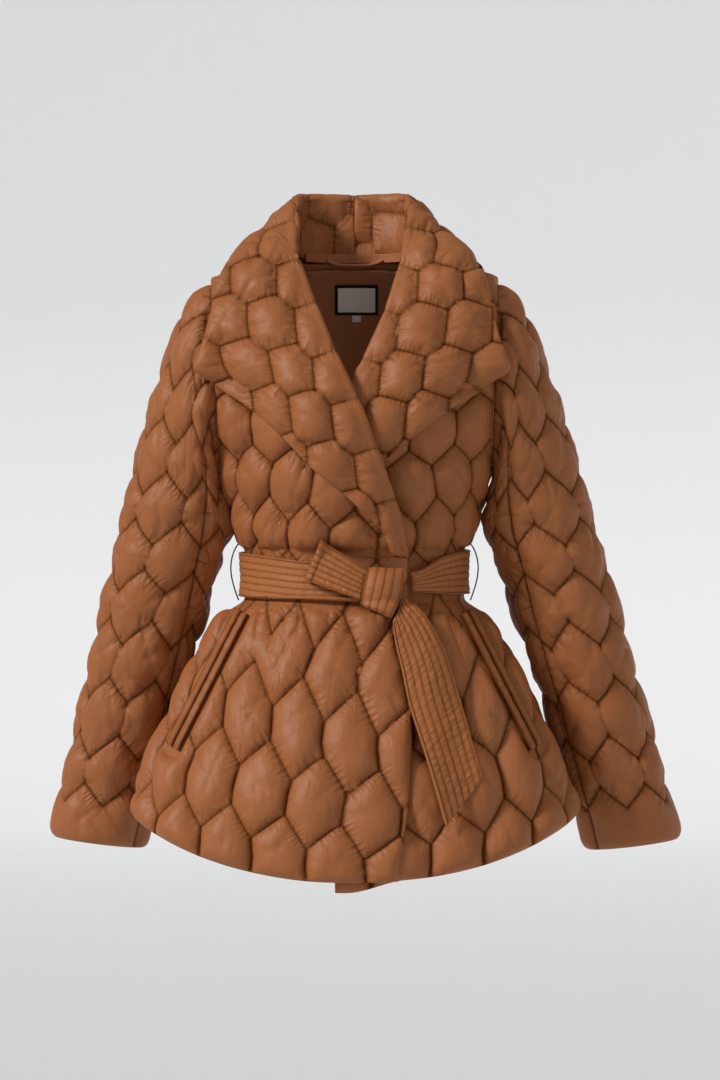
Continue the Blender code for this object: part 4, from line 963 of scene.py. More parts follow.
def calendered_nylon(name, cloth, deep, pale, roughness, thread=0.35, dip=0.95, puckering=0.70):
    """Down-proof nylon taffeta, plain woven of fine filaments and calendered: a soft satin gloss
    with a faint rib, crinkles that run off the stitches, and thread sunk in each stitched line.
    Shade is painted into the colour: deep, at a share of dip, beside each stitched line and along
    each neck, and the thread's dark colour also paints shade at the bottom of each seam.

    The threads are 0.1 mm apart, too fine to show, so the rib is drawn at about 0.9 mm.
    """
    made, tree, shader = new_material(name, cloth, roughness, sheen_roughness=0.45, tint="#E8A878")
    place = add_node(tree, "ShaderNodeTexCoord")
    grain = add_node(tree, "ShaderNodeUVMap", {"uv_map": "grain"})
    stitch = add_node(tree, "ShaderNodeAttribute", {"attribute_name": "stitch"})
    run = add_node(tree, "ShaderNodeAttribute", {"attribute_name": "run"})
    seam = add_node(tree, "ShaderNodeAttribute", {"attribute_name": "seam"})
    # Dye takes a little unevenly in broad patches.
    patches = add_node(tree, "ShaderNodeTexNoise", values={"Scale": 9.0, "Detail": 3.0},
                       links={"Vector": place.outputs["Object"]})
    dyed = add_node(tree, "ShaderNodeMix", {"data_type": "RGBA"},
                    {6: srgb_to_linear(cloth), 7: srgb_to_linear(pale)}, {0: patches.outputs["Fac"]})
    # Painted shade: the seam layer mixes the deep colour into the dyed cloth beside each stitched line and
    # along each neck.
    sunk = add_node(tree, "ShaderNodeMath", {"operation": "MULTIPLY"}, {1: dip}, {0: seam.outputs["Fac"]})
    folded = add_node(tree, "ShaderNodeMix", {"data_type": "RGBA"}, {7: srgb_to_linear(deep)},
                      {0: sunk.outputs[0], 6: dyed.outputs[2]})
    # The thread in the stitched line is darker; its dark colour, #52280F, also paints shade at the bottom of
    # the seam.
    line = add_node(tree, "ShaderNodeMapRange",
                    values={"From Min": 0.25, "From Max": 0.95, "To Min": thread, "To Max": 0.0},
                    links={"Value": stitch.outputs["Fac"]})
    sewn = add_node(tree, "ShaderNodeMix", {"data_type": "RGBA"}, {7: srgb_to_linear("#52280F")},
                    {0: line.outputs[0], 6: folded.outputs[2]})
    tree.links.new(sewn.outputs[2], shader.inputs["Base Color"])
    # No gloss reaches the eye out of a fold.
    for socket, gloss in (("Specular IOR Level", 0.32), ("Sheen Weight", 0.12)):
        dulled = add_node(tree, "ShaderNodeMapRange",
                          values={"From Max": 0.6, "To Min": gloss, "To Max": 0.0},
                          links={"Value": seam.outputs["Fac"]})
        tree.links.new(dulled.outputs[0], shader.inputs[socket])
    # Drawn creases: ridges square to the stitches, about 8 mm apart, gone 18 mm out.
    lane = add_node(tree, "ShaderNodeCombineXYZ", links={"X": run.outputs["Fac"], "Y": stitch.outputs["Fac"]})
    stretched = add_node(tree, "ShaderNodeMapping", values={"Scale": (1.3, 0.030, 1.0)},
                         links={"Vector": lane.outputs["Vector"]})
    puckers = add_node(tree, "ShaderNodeTexNoise", {"noise_type": "RIDGED_MULTIFRACTAL"},
                       {"Scale": 1.0, "Detail": 2.0, "Roughness": 0.45, "Offset": 0.9, "Gain": 1.4},
                       {"Vector": stretched.outputs["Vector"]})
    fade = add_node(tree, "ShaderNodeMapRange", {"interpolation_type": "SMOOTHSTEP"},
                    {"From Min": 1.0, "From Max": 18.0, "To Min": 1.0, "To Max": 0.0},
                    {"Value": stitch.outputs["Fac"]})
    faded = add_node(tree, "ShaderNodeMath", {"operation": "MULTIPLY"},
                     links={0: puckers.outputs["Fac"], 1: fade.outputs[0]})
    drawn = add_node(tree, "ShaderNodeBump", {"invert": True},
                     {"Strength": puckering, "Distance": 0.0016}, {"Height": faded.outputs[0]})
    # Small crinkles all over, and soft long ones from wear.
    crinkle = add_node(tree, "ShaderNodeTexNoise", values={"Scale": 95.0, "Detail": 4.0, "Distortion": 0.8},
                       links={"Vector": place.outputs["Object"]})
    upright = add_node(tree, "ShaderNodeMapping", values={"Scale": (2.6, 0.60, 1.0)},
                       links={"Vector": grain.outputs["UV"]})
    worn = add_node(tree, "ShaderNodeTexNoise", {"noise_type": "RIDGED_MULTIFRACTAL"},
                    {"Scale": 3.6, "Detail": 3.0, "Roughness": 0.45, "Distortion": 0.5},
                    {"Vector": upright.outputs["Vector"]})
    folds = add_node(tree, "ShaderNodeBump", values={"Strength": 0.60, "Distance": 0.0018},
                     links={"Height": worn.outputs["Fac"], "Normal": drawn.outputs["Normal"]})
    low = add_node(tree, "ShaderNodeBump", values={"Strength": 0.50, "Distance": 0.0016},
                   links={"Height": crinkle.outputs["Fac"], "Normal": folds.outputs["Normal"]})
    rib = add_node(tree, "ShaderNodeTexWave", {"wave_type": "BANDS", "bands_direction": "Y"},
                   {"Scale": 35.0, "Distortion": 1.2, "Detail": 1.0, "Detail Scale": 2.0},
                   {"Vector": grain.outputs["UV"]})
    high = add_node(tree, "ShaderNodeBump", values={"Strength": 0.10, "Distance": 0.0004},
                    links={"Height": rib.outputs["Fac"], "Normal": low.outputs["Normal"]})
    tree.links.new(high.outputs["Normal"], shader.inputs["Normal"])
    rough = add_node(tree, "ShaderNodeMapRange",
                     values={"To Min": roughness - 0.06, "To Max": roughness + 0.07},
                     links={"Value": crinkle.outputs["Fac"]})
    tree.links.new(rough.outputs[0], shader.inputs["Roughness"])
    return made


def woven(name, cloth, pale, roughness, pitch, sheen=0.0):
    """A plain or satin woven trim: two crossed sets of threads at a pitch in metres, slightly
    uneven in shade."""
    made, tree, shader = new_material(name, cloth, roughness, sheen=sheen, specular=0.35)
    place = add_node(tree, "ShaderNodeTexCoord")
    warp = add_node(tree, "ShaderNodeTexWave", {"wave_type": "BANDS", "bands_direction": "X"},
                    {"Scale": 0.314 / pitch, "Distortion": 0.6}, {"Vector": place.outputs["Object"]})
    weft = add_node(tree, "ShaderNodeTexWave", {"wave_type": "BANDS", "bands_direction": "Z"},
                    {"Scale": 0.314 / pitch, "Distortion": 0.6}, {"Vector": place.outputs["Object"]})
    weave = add_node(tree, "ShaderNodeMath", {"operation": "MULTIPLY"},
                     links={0: warp.outputs["Fac"], 1: weft.outputs["Fac"]})
    patches = add_node(tree, "ShaderNodeTexNoise", values={"Scale": 60.0, "Detail": 3.0},
                       links={"Vector": place.outputs["Object"]})
    shade = add_node(tree, "ShaderNodeMix", {"data_type": "RGBA"},
                     {6: srgb_to_linear(cloth), 7: srgb_to_linear(pale)}, {0: patches.outputs["Fac"]})
    tree.links.new(shade.outputs[2], shader.inputs["Base Color"])
    bump = add_node(tree, "ShaderNodeBump", values={"Strength": 0.4, "Distance": pitch / 2},
                    links={"Height": weave.outputs[0]})
    tree.links.new(bump.outputs["Normal"], shader.inputs["Normal"])
    return made


# The deep colours, #34160A on the shell and #6A3619 on the belt, are painted shade, mixed in beside stitched
# lines and necks at a share of 0.95 and 0.50.
SHELL = calendered_nylon("nylon_taffeta_shell", "#985930", "#34160A", "#A26235", 0.51)
BELT_CLOTH = calendered_nylon("nylon_taffeta_belt", "#A26138", "#6A3619", "#AC6C3E", 0.54, 0.20, 0.50, 0.15)
LINING = woven("plain_lining", "#AC6C44", "#B5754B", 0.50, 0.0012, sheen=0.10)
LABEL_DARK = woven("woven_label_border", "#15120F", "#1E1A16", 0.75, 0.0006)
LABEL_PALE = woven("woven_label_face", "#F4F1EA", "#FBF9F4", 0.42, 0.0006)
THREAD = woven("twisted_thread", "#3A1D10", "#4A2817", 0.80, 0.0009)


# ---------------------------------------------------------------- fronts and back
def panel_base(inner_angle, face, side, rows, cols):
    """Base points and normals of a panel: rows at equal heights below and above the armhole and
    crowding to its ends beside it, columns at equal angles from the inner edge to the side."""
    skirt = np.linspace(HEM_SIDE, UNDERARM, rows[0], endpoint=False)
    turns = np.linspace(math.pi, 0.0, rows[1])
    turns = turns + ROW_CROWDING * np.sin(2 * turns)
    armhole = ARMHOLE_MIDDLE[1] + ARMHOLE_HALF[1] * np.cos(turns)
    shoulder = np.linspace(SHOULDER_POINT[1], NECK_RING, rows[2] + 1)[1:]
    heights = np.concatenate([skirt, armhole, shoulder])
    start = inner_angle(heights)
    end = side_angle(heights, face)
    share = np.linspace(0.0, 1.0, cols)
    angles = start[:, None] * (1 - share) + end[:, None] * share
    if side < 0:
        angles = math.pi - angles
    points, normals = body_point(angles, heights[:, None], face)
    on_armhole = ramp(heights, UNDERARM - 0.012, UNDERARM) * (1 - ramp(heights, *SHOULDER_POINT[1:], 0.004))
    to_side = run_along(points, 1)[1]
    near = (1 - ramp(to_side, 0.0, SEAM_BLEND)) * on_armhole[:, None]
    swell = (1 - ramp(to_side, *SWELL_REACH)) * under_arm(points[..., 2])
    return points + normals * swell[..., None], seam_normals(points, normals, near, side)


def under_arm(height):
    """How far the down swells under the arm, where body and sleeve press on each other."""
    return ARM_SWELL * ramp(height, *SWELL_HEIGHTS[0]) * (1 - ramp(height, *SWELL_HEIGHTS[1]))


def seam_normals(points, normals, near, side):
    """Normals turned, near the armhole seam, to point straight away from the armhole's middle, so
    that the body and the sleeve sink together."""
    middle = np.array([side * ARMHOLE_MIDDLE[0], 0.0, ARMHOLE_MIDDLE[1]])
    return unit(normals * (1 - near[..., None]) + unit(points - middle) * near[..., None])


def waist_press(points):
    """1 where the belt lies on the cloth, 0 clear of it."""
    z = points[..., 2]
    return ramp(z, *WAIST_PRESS[0]) * (1 - ramp(z, *WAIST_PRESS[1]))


def welt_press(points):
    """1 under a pocket's welts, 0 clear of them."""
    found = no_spots(points.shape[:2])
    keep_nearest(found, np.abs(points[..., 0]), points[..., 2], WELT_TOP, WELT_FOOT, 0.0)
    return 1 - ramp(found["away"], *WELT_PRESS)


def front_press(points):
    """1 where the belt or a pocket's welts lie on a front, 0 clear of them."""
    return np.maximum(waist_press(points), welt_press(points))


def waist_gathers(seed):
    """Cut width drawn in by the belt: more of it and upright folds above and below, fading away."""
    def gather(points, u):
        z = points[..., 2]
        over = np.maximum(np.maximum(z - GATHER_LEVELS[1], GATHER_LEVELS[0] - z), 0.0)
        fine = lattice_noise(u, z, 0.0065, 0.060, seed)
        broad = lattice_noise(u, z, 0.0150, 0.080, seed + 1)
        near = np.exp(-over / GATHER_FADE)
        return GATHER_CUT * near, GATHER_FOLD * (fine + 0.7 * broad) * near
    return gather


def body_neck_open(v):
    """How open the necks are: drawn nearly shut on the skirt, half open on the bodice."""
    return SKIRT_NECKS + BODICE_NECKS * ramp(v, *NECKS_OPEN)


def front_piece(which, side):
    """A front: its free edge, its seams, the belt's press and the welts' press."""
    face = -1

    def inner_angle(heights):
        sagged = body_point(math.pi / 2, heights, face)[0][..., 2]
        return edge_angle(front_inner_x(which, sagged), heights, face, side)

    base, normal = panel_base(inner_angle, face, side, PANEL_ROWS, fit(FRONT_LINES))
    if which == "right":
        base[..., 1] += face * lapel_stack(base[..., 0], base[..., 2])
    else:
        near_edge = 1 - ramp(base[..., 0], *UNDERLAP_DROP_X)
        base[..., 2] -= UNDERLAP_DROP * near_edge * ramp(-base[..., 2], *UNDERLAP_DROP_DEPTH)
    run, _ = run_along(base, 1)
    u = side * base[:, :1, 0] + run
    v = base[..., 2]
    edges = {"first_row": "free", "last_row": "seam", "first_col": "free", "last_col": "seam"}
    rows = named_rows(FRONT_ROWS, ROW_COLUMNS, f"foot_{which}")
    return padded_panel(f"front_{which}", base, normal, u, v, rows, edges, BODY_WALL, (SHELL, LINING),
                        body_neck_open(v), 100 if side < 0 else 200, flip=side > 0,
                        press=front_press, gather=waist_gathers(21 if side < 0 else 31))


def back_piece():
    """The back, its zigzags mirrored about the middle."""
    def middle_angle(heights):
        return np.full(heights.shape, math.pi / 2)

    right, left = (panel_base(middle_angle, 1, side, PANEL_ROWS, fit(BACK_LINES)) for side in (-1, 1))
    base, normal = (np.concatenate([one[:, ::-1], other[:, 1:]], axis=1)
                    for one, other in zip(right, left))
    run, _ = run_along(base, 1)
    middle = base.shape[1] // 2
    u = np.abs(run - run[:, middle:middle + 1])
    v = base[..., 2]
    rows = named_rows(FRONT_ROWS, ROW_COLUMNS, "foot_right")
    for index, row in enumerate(rows):
        row["slope"] *= BACK_SLOPE_SHARE
        row["split"] = 0.5
        row["foot"] = row["turn"] * 0.5 * (index % 2)
    edges = {"first_row": "free", "last_row": "seam", "first_col": "seam", "last_col": "seam"}
    return padded_panel("back", base, normal, u, v, rows, edges, BODY_WALL, (SHELL, LINING),
                        body_neck_open(v), 300, flip=True, press=waist_press,
                        gather=waist_gathers(41))


# ---------------------------------------------------------------- sleeves
def sleeve_lines(which, count):
    """The sleeve's sizes on smooth rings, one row of SLEEVE_COLUMNS for each of count rings."""
    parts = {name: column(SLEEVE, SLEEVE_COLUMNS, name) for name in SLEEVE_COLUMNS}
    drop = np.maximum(2 * SWING_FROM - parts["inner_z"], 0.0)
    knots = np.zeros(len(SLEEVE))
    for line in ("outer", "inner"):
        parts[f"{line}_x"] += SWING_OUT[which] * np.maximum(SWING_FROM - parts[f"{line}_z"], 0.0)
        steps = np.hypot(np.diff(parts[f"{line}_x"]), np.diff(parts[f"{line}_z"]))
        knots[1:] += np.cumsum(steps) / 2
    parts["middle"] += SWING_BACK[which] * drop
    where = np.linspace(0.0, knots[-1], count)
    return {name: smooth(knots, parts[name], where) for name in SLEEVE_COLUMNS}


def ring_points(rings, turn, side):
    """Points of the rings at each turn: 0 is the outer side, a quarter turn on is the front."""
    zero = np.zeros(len(turn))
    centre = np.stack([(rings["outer_x"] + rings["inner_x"]) / 2, rings["middle"],
                       (rings["outer_z"] + rings["inner_z"]) / 2], axis=1)
    across = np.stack([(rings["outer_x"] - rings["inner_x"]) / 2, zero,
                       (rings["outer_z"] - rings["inner_z"]) / 2], axis=1)
    deep = np.stack([zero, -rings["depth"], zero], axis=1)
    points = (centre[:, None] + np.cos(turn)[..., None] * across[:, None]
              + np.sin(turn)[..., None] * deep[:, None])
    points[..., 0] *= side
    return points


def sleeve_piece(which, side, part, cols):
    """The upper or the under piece of a sleeve on smooth rings between the table's rows."""
    rings = sleeve_lines(which, fit(SLEEVE_RINGS))
    seam = rings["seam"][:, None]
    share = np.linspace(0.0, 1.0, cols)
    low, high = (-seam, seam) if part == "upper" else (seam, 360.0 - seam)
    degrees = low + (high - low) * share
    base = ring_points(rings, np.radians(degrees), side)
    normal = grid_normals(base) * -side
    down = run_along(base, 0)[0]
    inner_side = ramp(-np.cos(np.radians(degrees)), 0.35, 0.90)
    base = base + normal * (under_arm(base[..., 2]) * inner_side)[..., None]
    base[..., 0] -= side * SLEEVE_TUCK * (1 - ramp(down, 0.0, SLEEVE_BLEND))
    normal = seam_normals(base, normal, 1 - ramp(down, 0.0, SEAM_BLEND), side)
    whole = np.radians(np.linspace(0.0, 360.0, 361))[None].repeat(len(base), 0)
    around = run_along(ring_points(rings, whole, side), 1)[0]
    both_ways = np.concatenate([-around[:, :0:-1], around], axis=1)
    u = np.stack([np.interp(line, np.linspace(-360.0, 360.0, 721), reach)
                  for line, reach in zip(degrees, both_ways)])
    rows = named_rows(SLEEVE_ROWS, SLEEVE_ROW_COLUMNS, mirrored=True)
    edges = {"first_row": "seam", "last_row": "free", "first_col": "seam", "last_col": "seam"}
    seed = 400 + 50 * (side > 0) + 20 * (part == "under")
    return padded_panel(f"sleeve_{which}_{part}", base, normal, u, base[..., 2], rows, edges,
                        SLEEVE_WALL, (SHELL, LINING), 0.97, seed, flip=side > 0, loft=0.62,
                        sink=FLAT_SINK)


# ---------------------------------------------------------------- collar and lapels
STAND_SHARES = np.linspace(0.0, 1.0, 13)[:-1]
ROLL_TURNS = np.radians(np.linspace(0.0, 180.0, 12))
FALL_SHARES = np.linspace(0.0, 1.0, 50)[1:]


def stand_foot(x, y):
    """Foot of the collar's stand: the neck ring moved in, at the angle of a roll point."""
    half, depth, _ = section(NECK_RING, 1 if y > 0 else -1)
    across, deep = half - STAND_INSET, depth - STAND_INSET
    scale = (abs(x / across) ** OVAL_POWER + abs(y / deep) ** OVAL_POWER) ** (-1 / OVAL_POWER)
    return np.array([x * scale, y * scale, NECK_RING])


def collar_section(row, side, which):
    """One section: the stand, a half-round roll and the fall, from the foot to the free edge."""
    roll_x, roll_y, roll_z, edge_x, edge_y, edge_z, bulge, radius = row
    on_chest = roll_y is None
    top = COLLAR_WALL + COLLAR_CLEAR

    def cover(x, height):
        stack = lapel_stack(x, height) if which == "right" else 0.0
        return front_y(np.clip(x, -0.140, 0.140), height) - stack - top

    panel_y = cover(side * roll_x, roll_z) + top
    roll = np.array([side * roll_x, panel_y + 0.0005 if on_chest else roll_y, roll_z])
    edge = np.array([side * edge_x, 0.0, edge_z])
    edge[1] = cover(edge[0], edge_z) if edge_y is None else edge_y
    if on_chest:
        away = unit(np.array([edge[0] - roll[0], 0.0, edge[2] - roll[2]]))
        foot = roll + away * (radius + STAND_LIP) + np.array([0.0, radius, 0.0])
        forward, outward = -away, np.array([0.0, -1.0, 0.0])
    else:
        foot = roll + np.array([side * 0.010, radius, -0.004])
        if roll_y > -0.03:
            foot = stand_foot(roll[0], roll[1])
        forward = unit(roll - (foot + edge) / 2)
        outward = edge - foot
        outward = unit(outward - outward.dot(forward) * forward)
    centre = roll - forward * radius
    start, finish = centre - outward * radius, centre + outward * radius
    stand = foot + (start - foot) * STAND_SHARES[:, None]
    sine, cosine = np.sin(ROLL_TURNS)[:, None], np.cos(ROLL_TURNS)[:, None]
    fold = centre + radius * (sine * forward - cosine * outward)
    share = FALL_SHARES[:, None]
    fall = finish + (edge - finish) * share
    if on_chest:
        level = cover(fall[:, 0], fall[:, 2]) - bulge * np.sin(math.pi * FALL_SHARES)
        level = level + (edge[1] - cover(edge[0], edge[2])) * FALL_SHARES ** 2
        level = level + (finish[1] - cover(finish[0], finish[2])) * (1 - FALL_SHARES) ** 3
        fall[:, 1] = level
    else:
        lean = unit(edge - finish)
        fall = fall + (outward - outward.dot(lean) * lean) * bulge * 4 * share * (1 - share)
    return np.concatenate([stand, fold, fall]), roll


def collar_piece(which, side, table):
    """Collar and lapel of one side, its sections joined smoothly along the roll line.

    The quilting lies on the cloth unrolled: on the chest its place seen from the front, and up
    round the neck the roll line carried on straight, with the fall laid out from it.
    """
    made = [collar_section(row, side, which) for row in table]
    coarse = np.array([points for points, _ in made])
    rolls = np.array([roll for _, roll in made])
    apex = len(STAND_SHARES) + len(ROLL_TURNS) // 2
    steps = np.linalg.norm(np.diff(coarse[:, apex:].mean(axis=1), axis=0), axis=1)
    knots = np.concatenate([[0.0], np.cumsum(steps)])
    where = np.linspace(0.0, knots[-1], fit(COLLAR_RINGS))
    flat_coarse = coarse.reshape(len(coarse), -1)
    base = np.stack([smooth(knots, flat_coarse[:, c], where) for c in range(flat_coarse.shape[1])], axis=1)
    base = base.reshape(len(where), -1, 3)
    keep = (base.shape[1] - 1) // INNER_STEP * INNER_STEP + 1
    base = base[:, base.shape[1] - keep:]
    apex -= coarse.shape[1] - keep
    base[0, :, 0] = 0.0
    normal = grid_normals(base) * side
    normal[0, :, 0] = 0.0
    normal = unit(normal)

    roll_flat = np.stack([side * rolls[:, 0], rolls[:, 2]], axis=1)
    lean = unit(roll_flat[7] - roll_flat[8])
    for index in range(6, -1, -1):
        roll_flat[index] = roll_flat[index + 1] + lean * np.linalg.norm(rolls[index] - rolls[index + 1])
    edge_flat = np.stack([side * coarse[:, -1, 0], coarse[:, -1, 2]], axis=1)
    fall_way = unit(edge_flat - np.stack([side * rolls[:, 0], rolls[:, 2]], axis=1))
    square = np.array([lean[1], -lean[0]])
    blend = ramp(np.arange(len(table), dtype=float), 4.0, 9.0)[:, None]
    fall_way = unit(fall_way * blend + square * (1 - blend))
    flat_roll = np.stack([smooth(knots, roll_flat[:, c], where) for c in range(2)], axis=1)
    way = unit(np.stack([smooth(knots, fall_way[:, c], where) for c in range(2)], axis=1))
    across, _ = run_along(base, 1)
    across = across - across[:, apex:apex + 1]
    flat = flat_roll[:, None] + across[..., None] * way[:, None]
    p = -math.cos(COLLAR_LEAN) * flat[..., 0] + math.sin(COLLAR_LEAN) * flat[..., 1]
    q = math.sin(COLLAR_LEAN) * flat[..., 0] + math.cos(COLLAR_LEAN) * flat[..., 1]
    if which == "left":
        ease = ramp(where, 0.0, 0.12)[:, None]
        p, q = p + LEFT_SHIFT[0] * ease, q + LEFT_SHIFT[1] * ease
    rows = named_rows(COLLAR_ROWS, SLEEVE_ROW_COLUMNS)
    edges = {"first_row": "plain", "last_row": "free", "first_col": "plain", "last_col": "free"}

    def calm(points):
        """The stand, the nape and the roll are drawn flatter than the fall."""
        over = run_along(points, 1)[0]
        over = over - over[:, apex:apex + 1]
        stand = CALM_STAND[0] * (1 - ramp(over, *CALM_STAND[1:]))
        nape = CALM_NAPE[0] * (1 - ramp(np.abs(over), *CALM_NAPE[1:]))
        nape = nape * (1 - ramp(where, *CALM_NAPE_ALONG))[:, None]
        roll = CALM_ROLL[0] * (1 - ramp(np.abs(over - 0.002), *CALM_ROLL[1:]))
        upright = lattice_noise(where[:, None], over, 0.0075, 0.050, 511)
        upright = upright * ramp(where, 0.004, 0.02)[:, None] * (over < 0.010)
        return np.maximum(np.maximum(stand, nape), roll), CALM_LEVEL + UPRIGHT_FOLD * upright

    return padded_panel(f"collar_{which}", base, normal, p, q, rows, edges, COLLAR_WALL,
                        (SHELL, SHELL), 0.62, 500, flip=side > 0, calm=calm, loft=0.58,
                        sink=FLAT_SINK, ease=0.03)


# ---------------------------------------------------------------- belt
def channel_relief(share, run, count, seed, crinkle):
    """Height of a stitched band: a low dome in each channel, a bead of piping at both edges, and
    small puckers across the channels that change from one to the next."""
    lane = np.clip((share - PIPING) / (1 - 2 * PIPING), 0.0, 1.0) * count
    number = np.floor(np.minimum(lane, count - 1e-6))
    within = lane - number
    dome = np.sqrt(np.maximum(1 - (2 * within - 1) ** 2, 0.0)) ** 0.8
    edge = np.minimum(share, 1 - share)
    bead = np.sqrt(np.maximum(1 - (2 * edge / PIPING - 1) ** 2, 0.0))
    fine = lattice_noise(run + 0.0013 * number, number * 5.3 + 0.6 * within, FINE_PUCKER[1], 1.0, seed)
    broad = lattice_noise(run + 0.0040 * within, number * 3.7 + 0.4 * within, BROAD_PUCKER[1], 1.0,
                          seed + 1)
    puckers = FINE_PUCKER[0] * fine + BROAD_PUCKER[0] * broad
    height = CHANNEL_DOME * dome + crinkle * (0.35 + 0.65 * dome) * puckers
    height = np.where(edge < PIPING, PIPING_RISE * bead, height)
    stitch = np.where(edge < PIPING, edge - PIPING, np.minimum(within, 1 - within) / count)
    return height - BAND_SINK, stitch, number


def band_piece(node, base, normal, share, run, count, width, seed,
               wall=BELT_WALL, crinkle=1.0, extra=0.0, flip=False):
    """A belt piece: its outer face in channels, its edges rounded, a plain face behind."""
    relief, stitch, lane = channel_relief(share, run, count, seed, crinkle)
    outer = base + normal * (relief + extra)[..., None]
    away = np.abs(stitch) * width
    # The seam layer is painted shade beside each stitched line of the band, piping included.
    piece = closed_shell(f"{node}_sewn", outer, coarse_grid(base - normal * wall),
                         (BELT_CLOTH, BELT_CLOTH),
                         (("stitch", away * 1000, 40.0), ("seam", np.exp(-away / STITCH_PAINTED_SHADE), 0.0),
                          ("run", run * 100 + 7.3 * lane, 0.0)), flip)
    add_cloth_map(piece, run, share * width)
    dressed(piece, "belt_cloth", node)
    return piece


def belt_lift(x):
    """How far the belt stands off the body over the overlap, easing off past its edge."""
    return PANEL_STACK * ramp(x, -0.120, -0.036) * (1 - ramp(x, 0.062, 0.100))


def belt_round():
    """The belt from the knot's left edge, round the back, to its right edge."""
    turns = column(BELT_PATH, BELT_PATH_COLUMNS, "turn")
    start = 2 * math.pi - float(edge_angle(KNOT_LEFT_EDGE, WAIST, -1, 1))
    end = -float(edge_angle(KNOT_RIGHT_EDGE + 0.002, WAIST, -1, 1))
    turn = np.linspace(0.0, 1.0, fit(481))[None]
    share = np.linspace(0.0, 1.0, fit(65))[:, None]
    low = smooth(turns, column(BELT_PATH, BELT_PATH_COLUMNS, "low"), turn)
    high = smooth(turns, column(BELT_PATH, BELT_PATH_COLUMNS, "high"), turn)
    height = low * (1 - share) + high * share
    angle = start + (end - start) * turn
    flat = np.arccos(np.cos(angle))
    front, front_normal = body_point(flat, height, -1)
    back, back_normal = body_point(flat, height, 1)
    behind = (np.sin(angle) > 0)[..., None]
    base, normal = np.where(behind, back, front), np.where(behind, back_normal, front_normal)
    lift = BELT_CLEAR + BELT_WALL + np.where(behind[..., 0], 0.0, belt_lift(base[..., 0]))
    base = base + normal * lift[..., None]
    run, _ = run_along(base, 1)
    near_knot = np.exp(-np.minimum(run, run[:, -1:] - run) / 0.06)
    sway = 0.0009 * lattice_noise(run, share * 0.05, 0.035, 0.03, 71)
    drag = 0.0016 * near_knot * lattice_noise(share * 0.05, run, 0.009, 0.05, 72)
    return band_piece("belt_round", base, normal, share, run, BELT_CHANNELS, 0.050,
                      70, extra=sway + drag)


def belt_cover(x, height):
    """Y of the belt's outer face at the front."""
    return front_y(x, height) - PANEL_STACK - BELT_CLEAR - BELT_WALL


def belt_knot():
    """The knot: the band wrapped down over the belt, rounded across and along."""
    table = np.array(KNOT)
    steps = np.arange(len(table), dtype=float)
    where = np.linspace(0.0, steps[-1], fit(65))
    left_x, left_z, right_x, right_z, rise = (smooth(steps, values, where)[:, None]
                                              for values in table.T)
    share = np.linspace(0.0, 1.0, fit(61))[None]
    x = left_x + (right_x - left_x) * share
    z = left_z + (right_z - left_z) * share
    under = np.minimum(belt_cover(x, WAIST), front_y(x, z) - PANEL_STACK - 2 * BELT_CLEAR) - 0.0003
    crown = 0.62 + 0.38 * np.sin(math.pi * share) ** 0.6
    base = np.stack([x, under - 0.001 - rise * crown, z], axis=-1)
    normal = grid_normals(base)
    normal *= np.sign(-normal[..., 1:2].mean())
    run, _ = run_along(base, 0)
    return band_piece("belt_knot", base, normal, share, run, KNOT_CHANNELS, 0.041,
                      80, wall=0.0035, crinkle=0.55, flip=True)


def belt_end_short():
    """The short end: a folded loop of belt lying up and to the left of the knot, its channels
    running together at the knot and its far edge turned over thick."""
    outer_top, outer_low = np.array(SHORT_END_FAR)
    knot_top, knot_low = np.array(SHORT_END_KNOT)
    along = np.linspace(0.0, 1.0, fit(89))[None, :, None]
    across = np.linspace(0.0, 1.0, fit(61))[:, None, None]
    near = knot_low + (knot_top - knot_low) * across
    far = outer_low + (outer_top - outer_low) * across
    spot = near + (far - near) * along
    x, z, along, across = spot[..., 0], spot[..., 1], along[..., 0], across[..., 0]
    stack = lapel_stack(x, z) + BELT_CLEAR + BELT_WALL + 0.0003
    y = front_y(x, z) - stack - 0.0035 * (1 - along) - 0.0026
    thick = 0.0045 + 0.003 * np.sin(math.pi * np.minimum(along, 0.5))
    base = np.stack([x, y - thick, z], axis=-1)
    normal = np.broadcast_to(np.array([0.0, -1.0, 0.0]), base.shape)
    run, left = run_along(base, 1)
    turned = np.clip(left / END_TURN, 0.0, 1.0)
    bead = 0.0022 * np.sqrt(np.maximum(1 - (2 * turned - 1) ** 2, 0.0)) * (left < END_TURN)
    drag = 0.0022 * np.exp(-run / 0.018) * lattice_noise(across * 0.05, run, 0.006, 0.03, 92)
    return band_piece("belt_end_short", base, normal, across, run, BELT_CHANNELS, 0.047,
                      90, wall=0.0050, crinkle=0.8,
                      extra=bead + drag, flip=True)


def belt_end_long():
    """The hanging end, lying down the skirt from under the knot."""
    table = np.array(TAIL)
    steps = np.concatenate([[0.0], np.cumsum(np.hypot(np.diff(table[:, 0] + table[:, 2]),
                                                      np.diff(table[:, 1] + table[:, 3])) / 2)])
    where = np.linspace(0.0, steps[-1], fit(189))
    left_x, left_z, right_x, right_z = (smooth(steps, values, where)[:, None] for values in table.T)
    share = np.linspace(0.0, 1.0, fit(65))[None]
    x = left_x + (right_x - left_x) * share
    z = left_z + (right_z - left_z) * share
    near_knot = ramp(z, -0.430, -0.385)
    lift = PANEL_STACK * (1 - ramp(x, 0.075, 0.125)) + 0.0009 + 0.0030 * near_knot + 0.0052
    base = np.stack([x, front_y(x, z) - lift - BELT_WALL, z], axis=-1)
    normal = grid_normals(base)
    normal *= np.sign(-normal[..., 1:2].mean())
    run, _ = run_along(base, 0)
    sway = 0.0014 * lattice_noise(run, share * 0.05, 0.045, 0.05, 102)
    return band_piece("belt_end_long", base, normal, share, run, BELT_CHANNELS, 0.048,
                      100, crinkle=1.25,
                      extra=sway, flip=True)


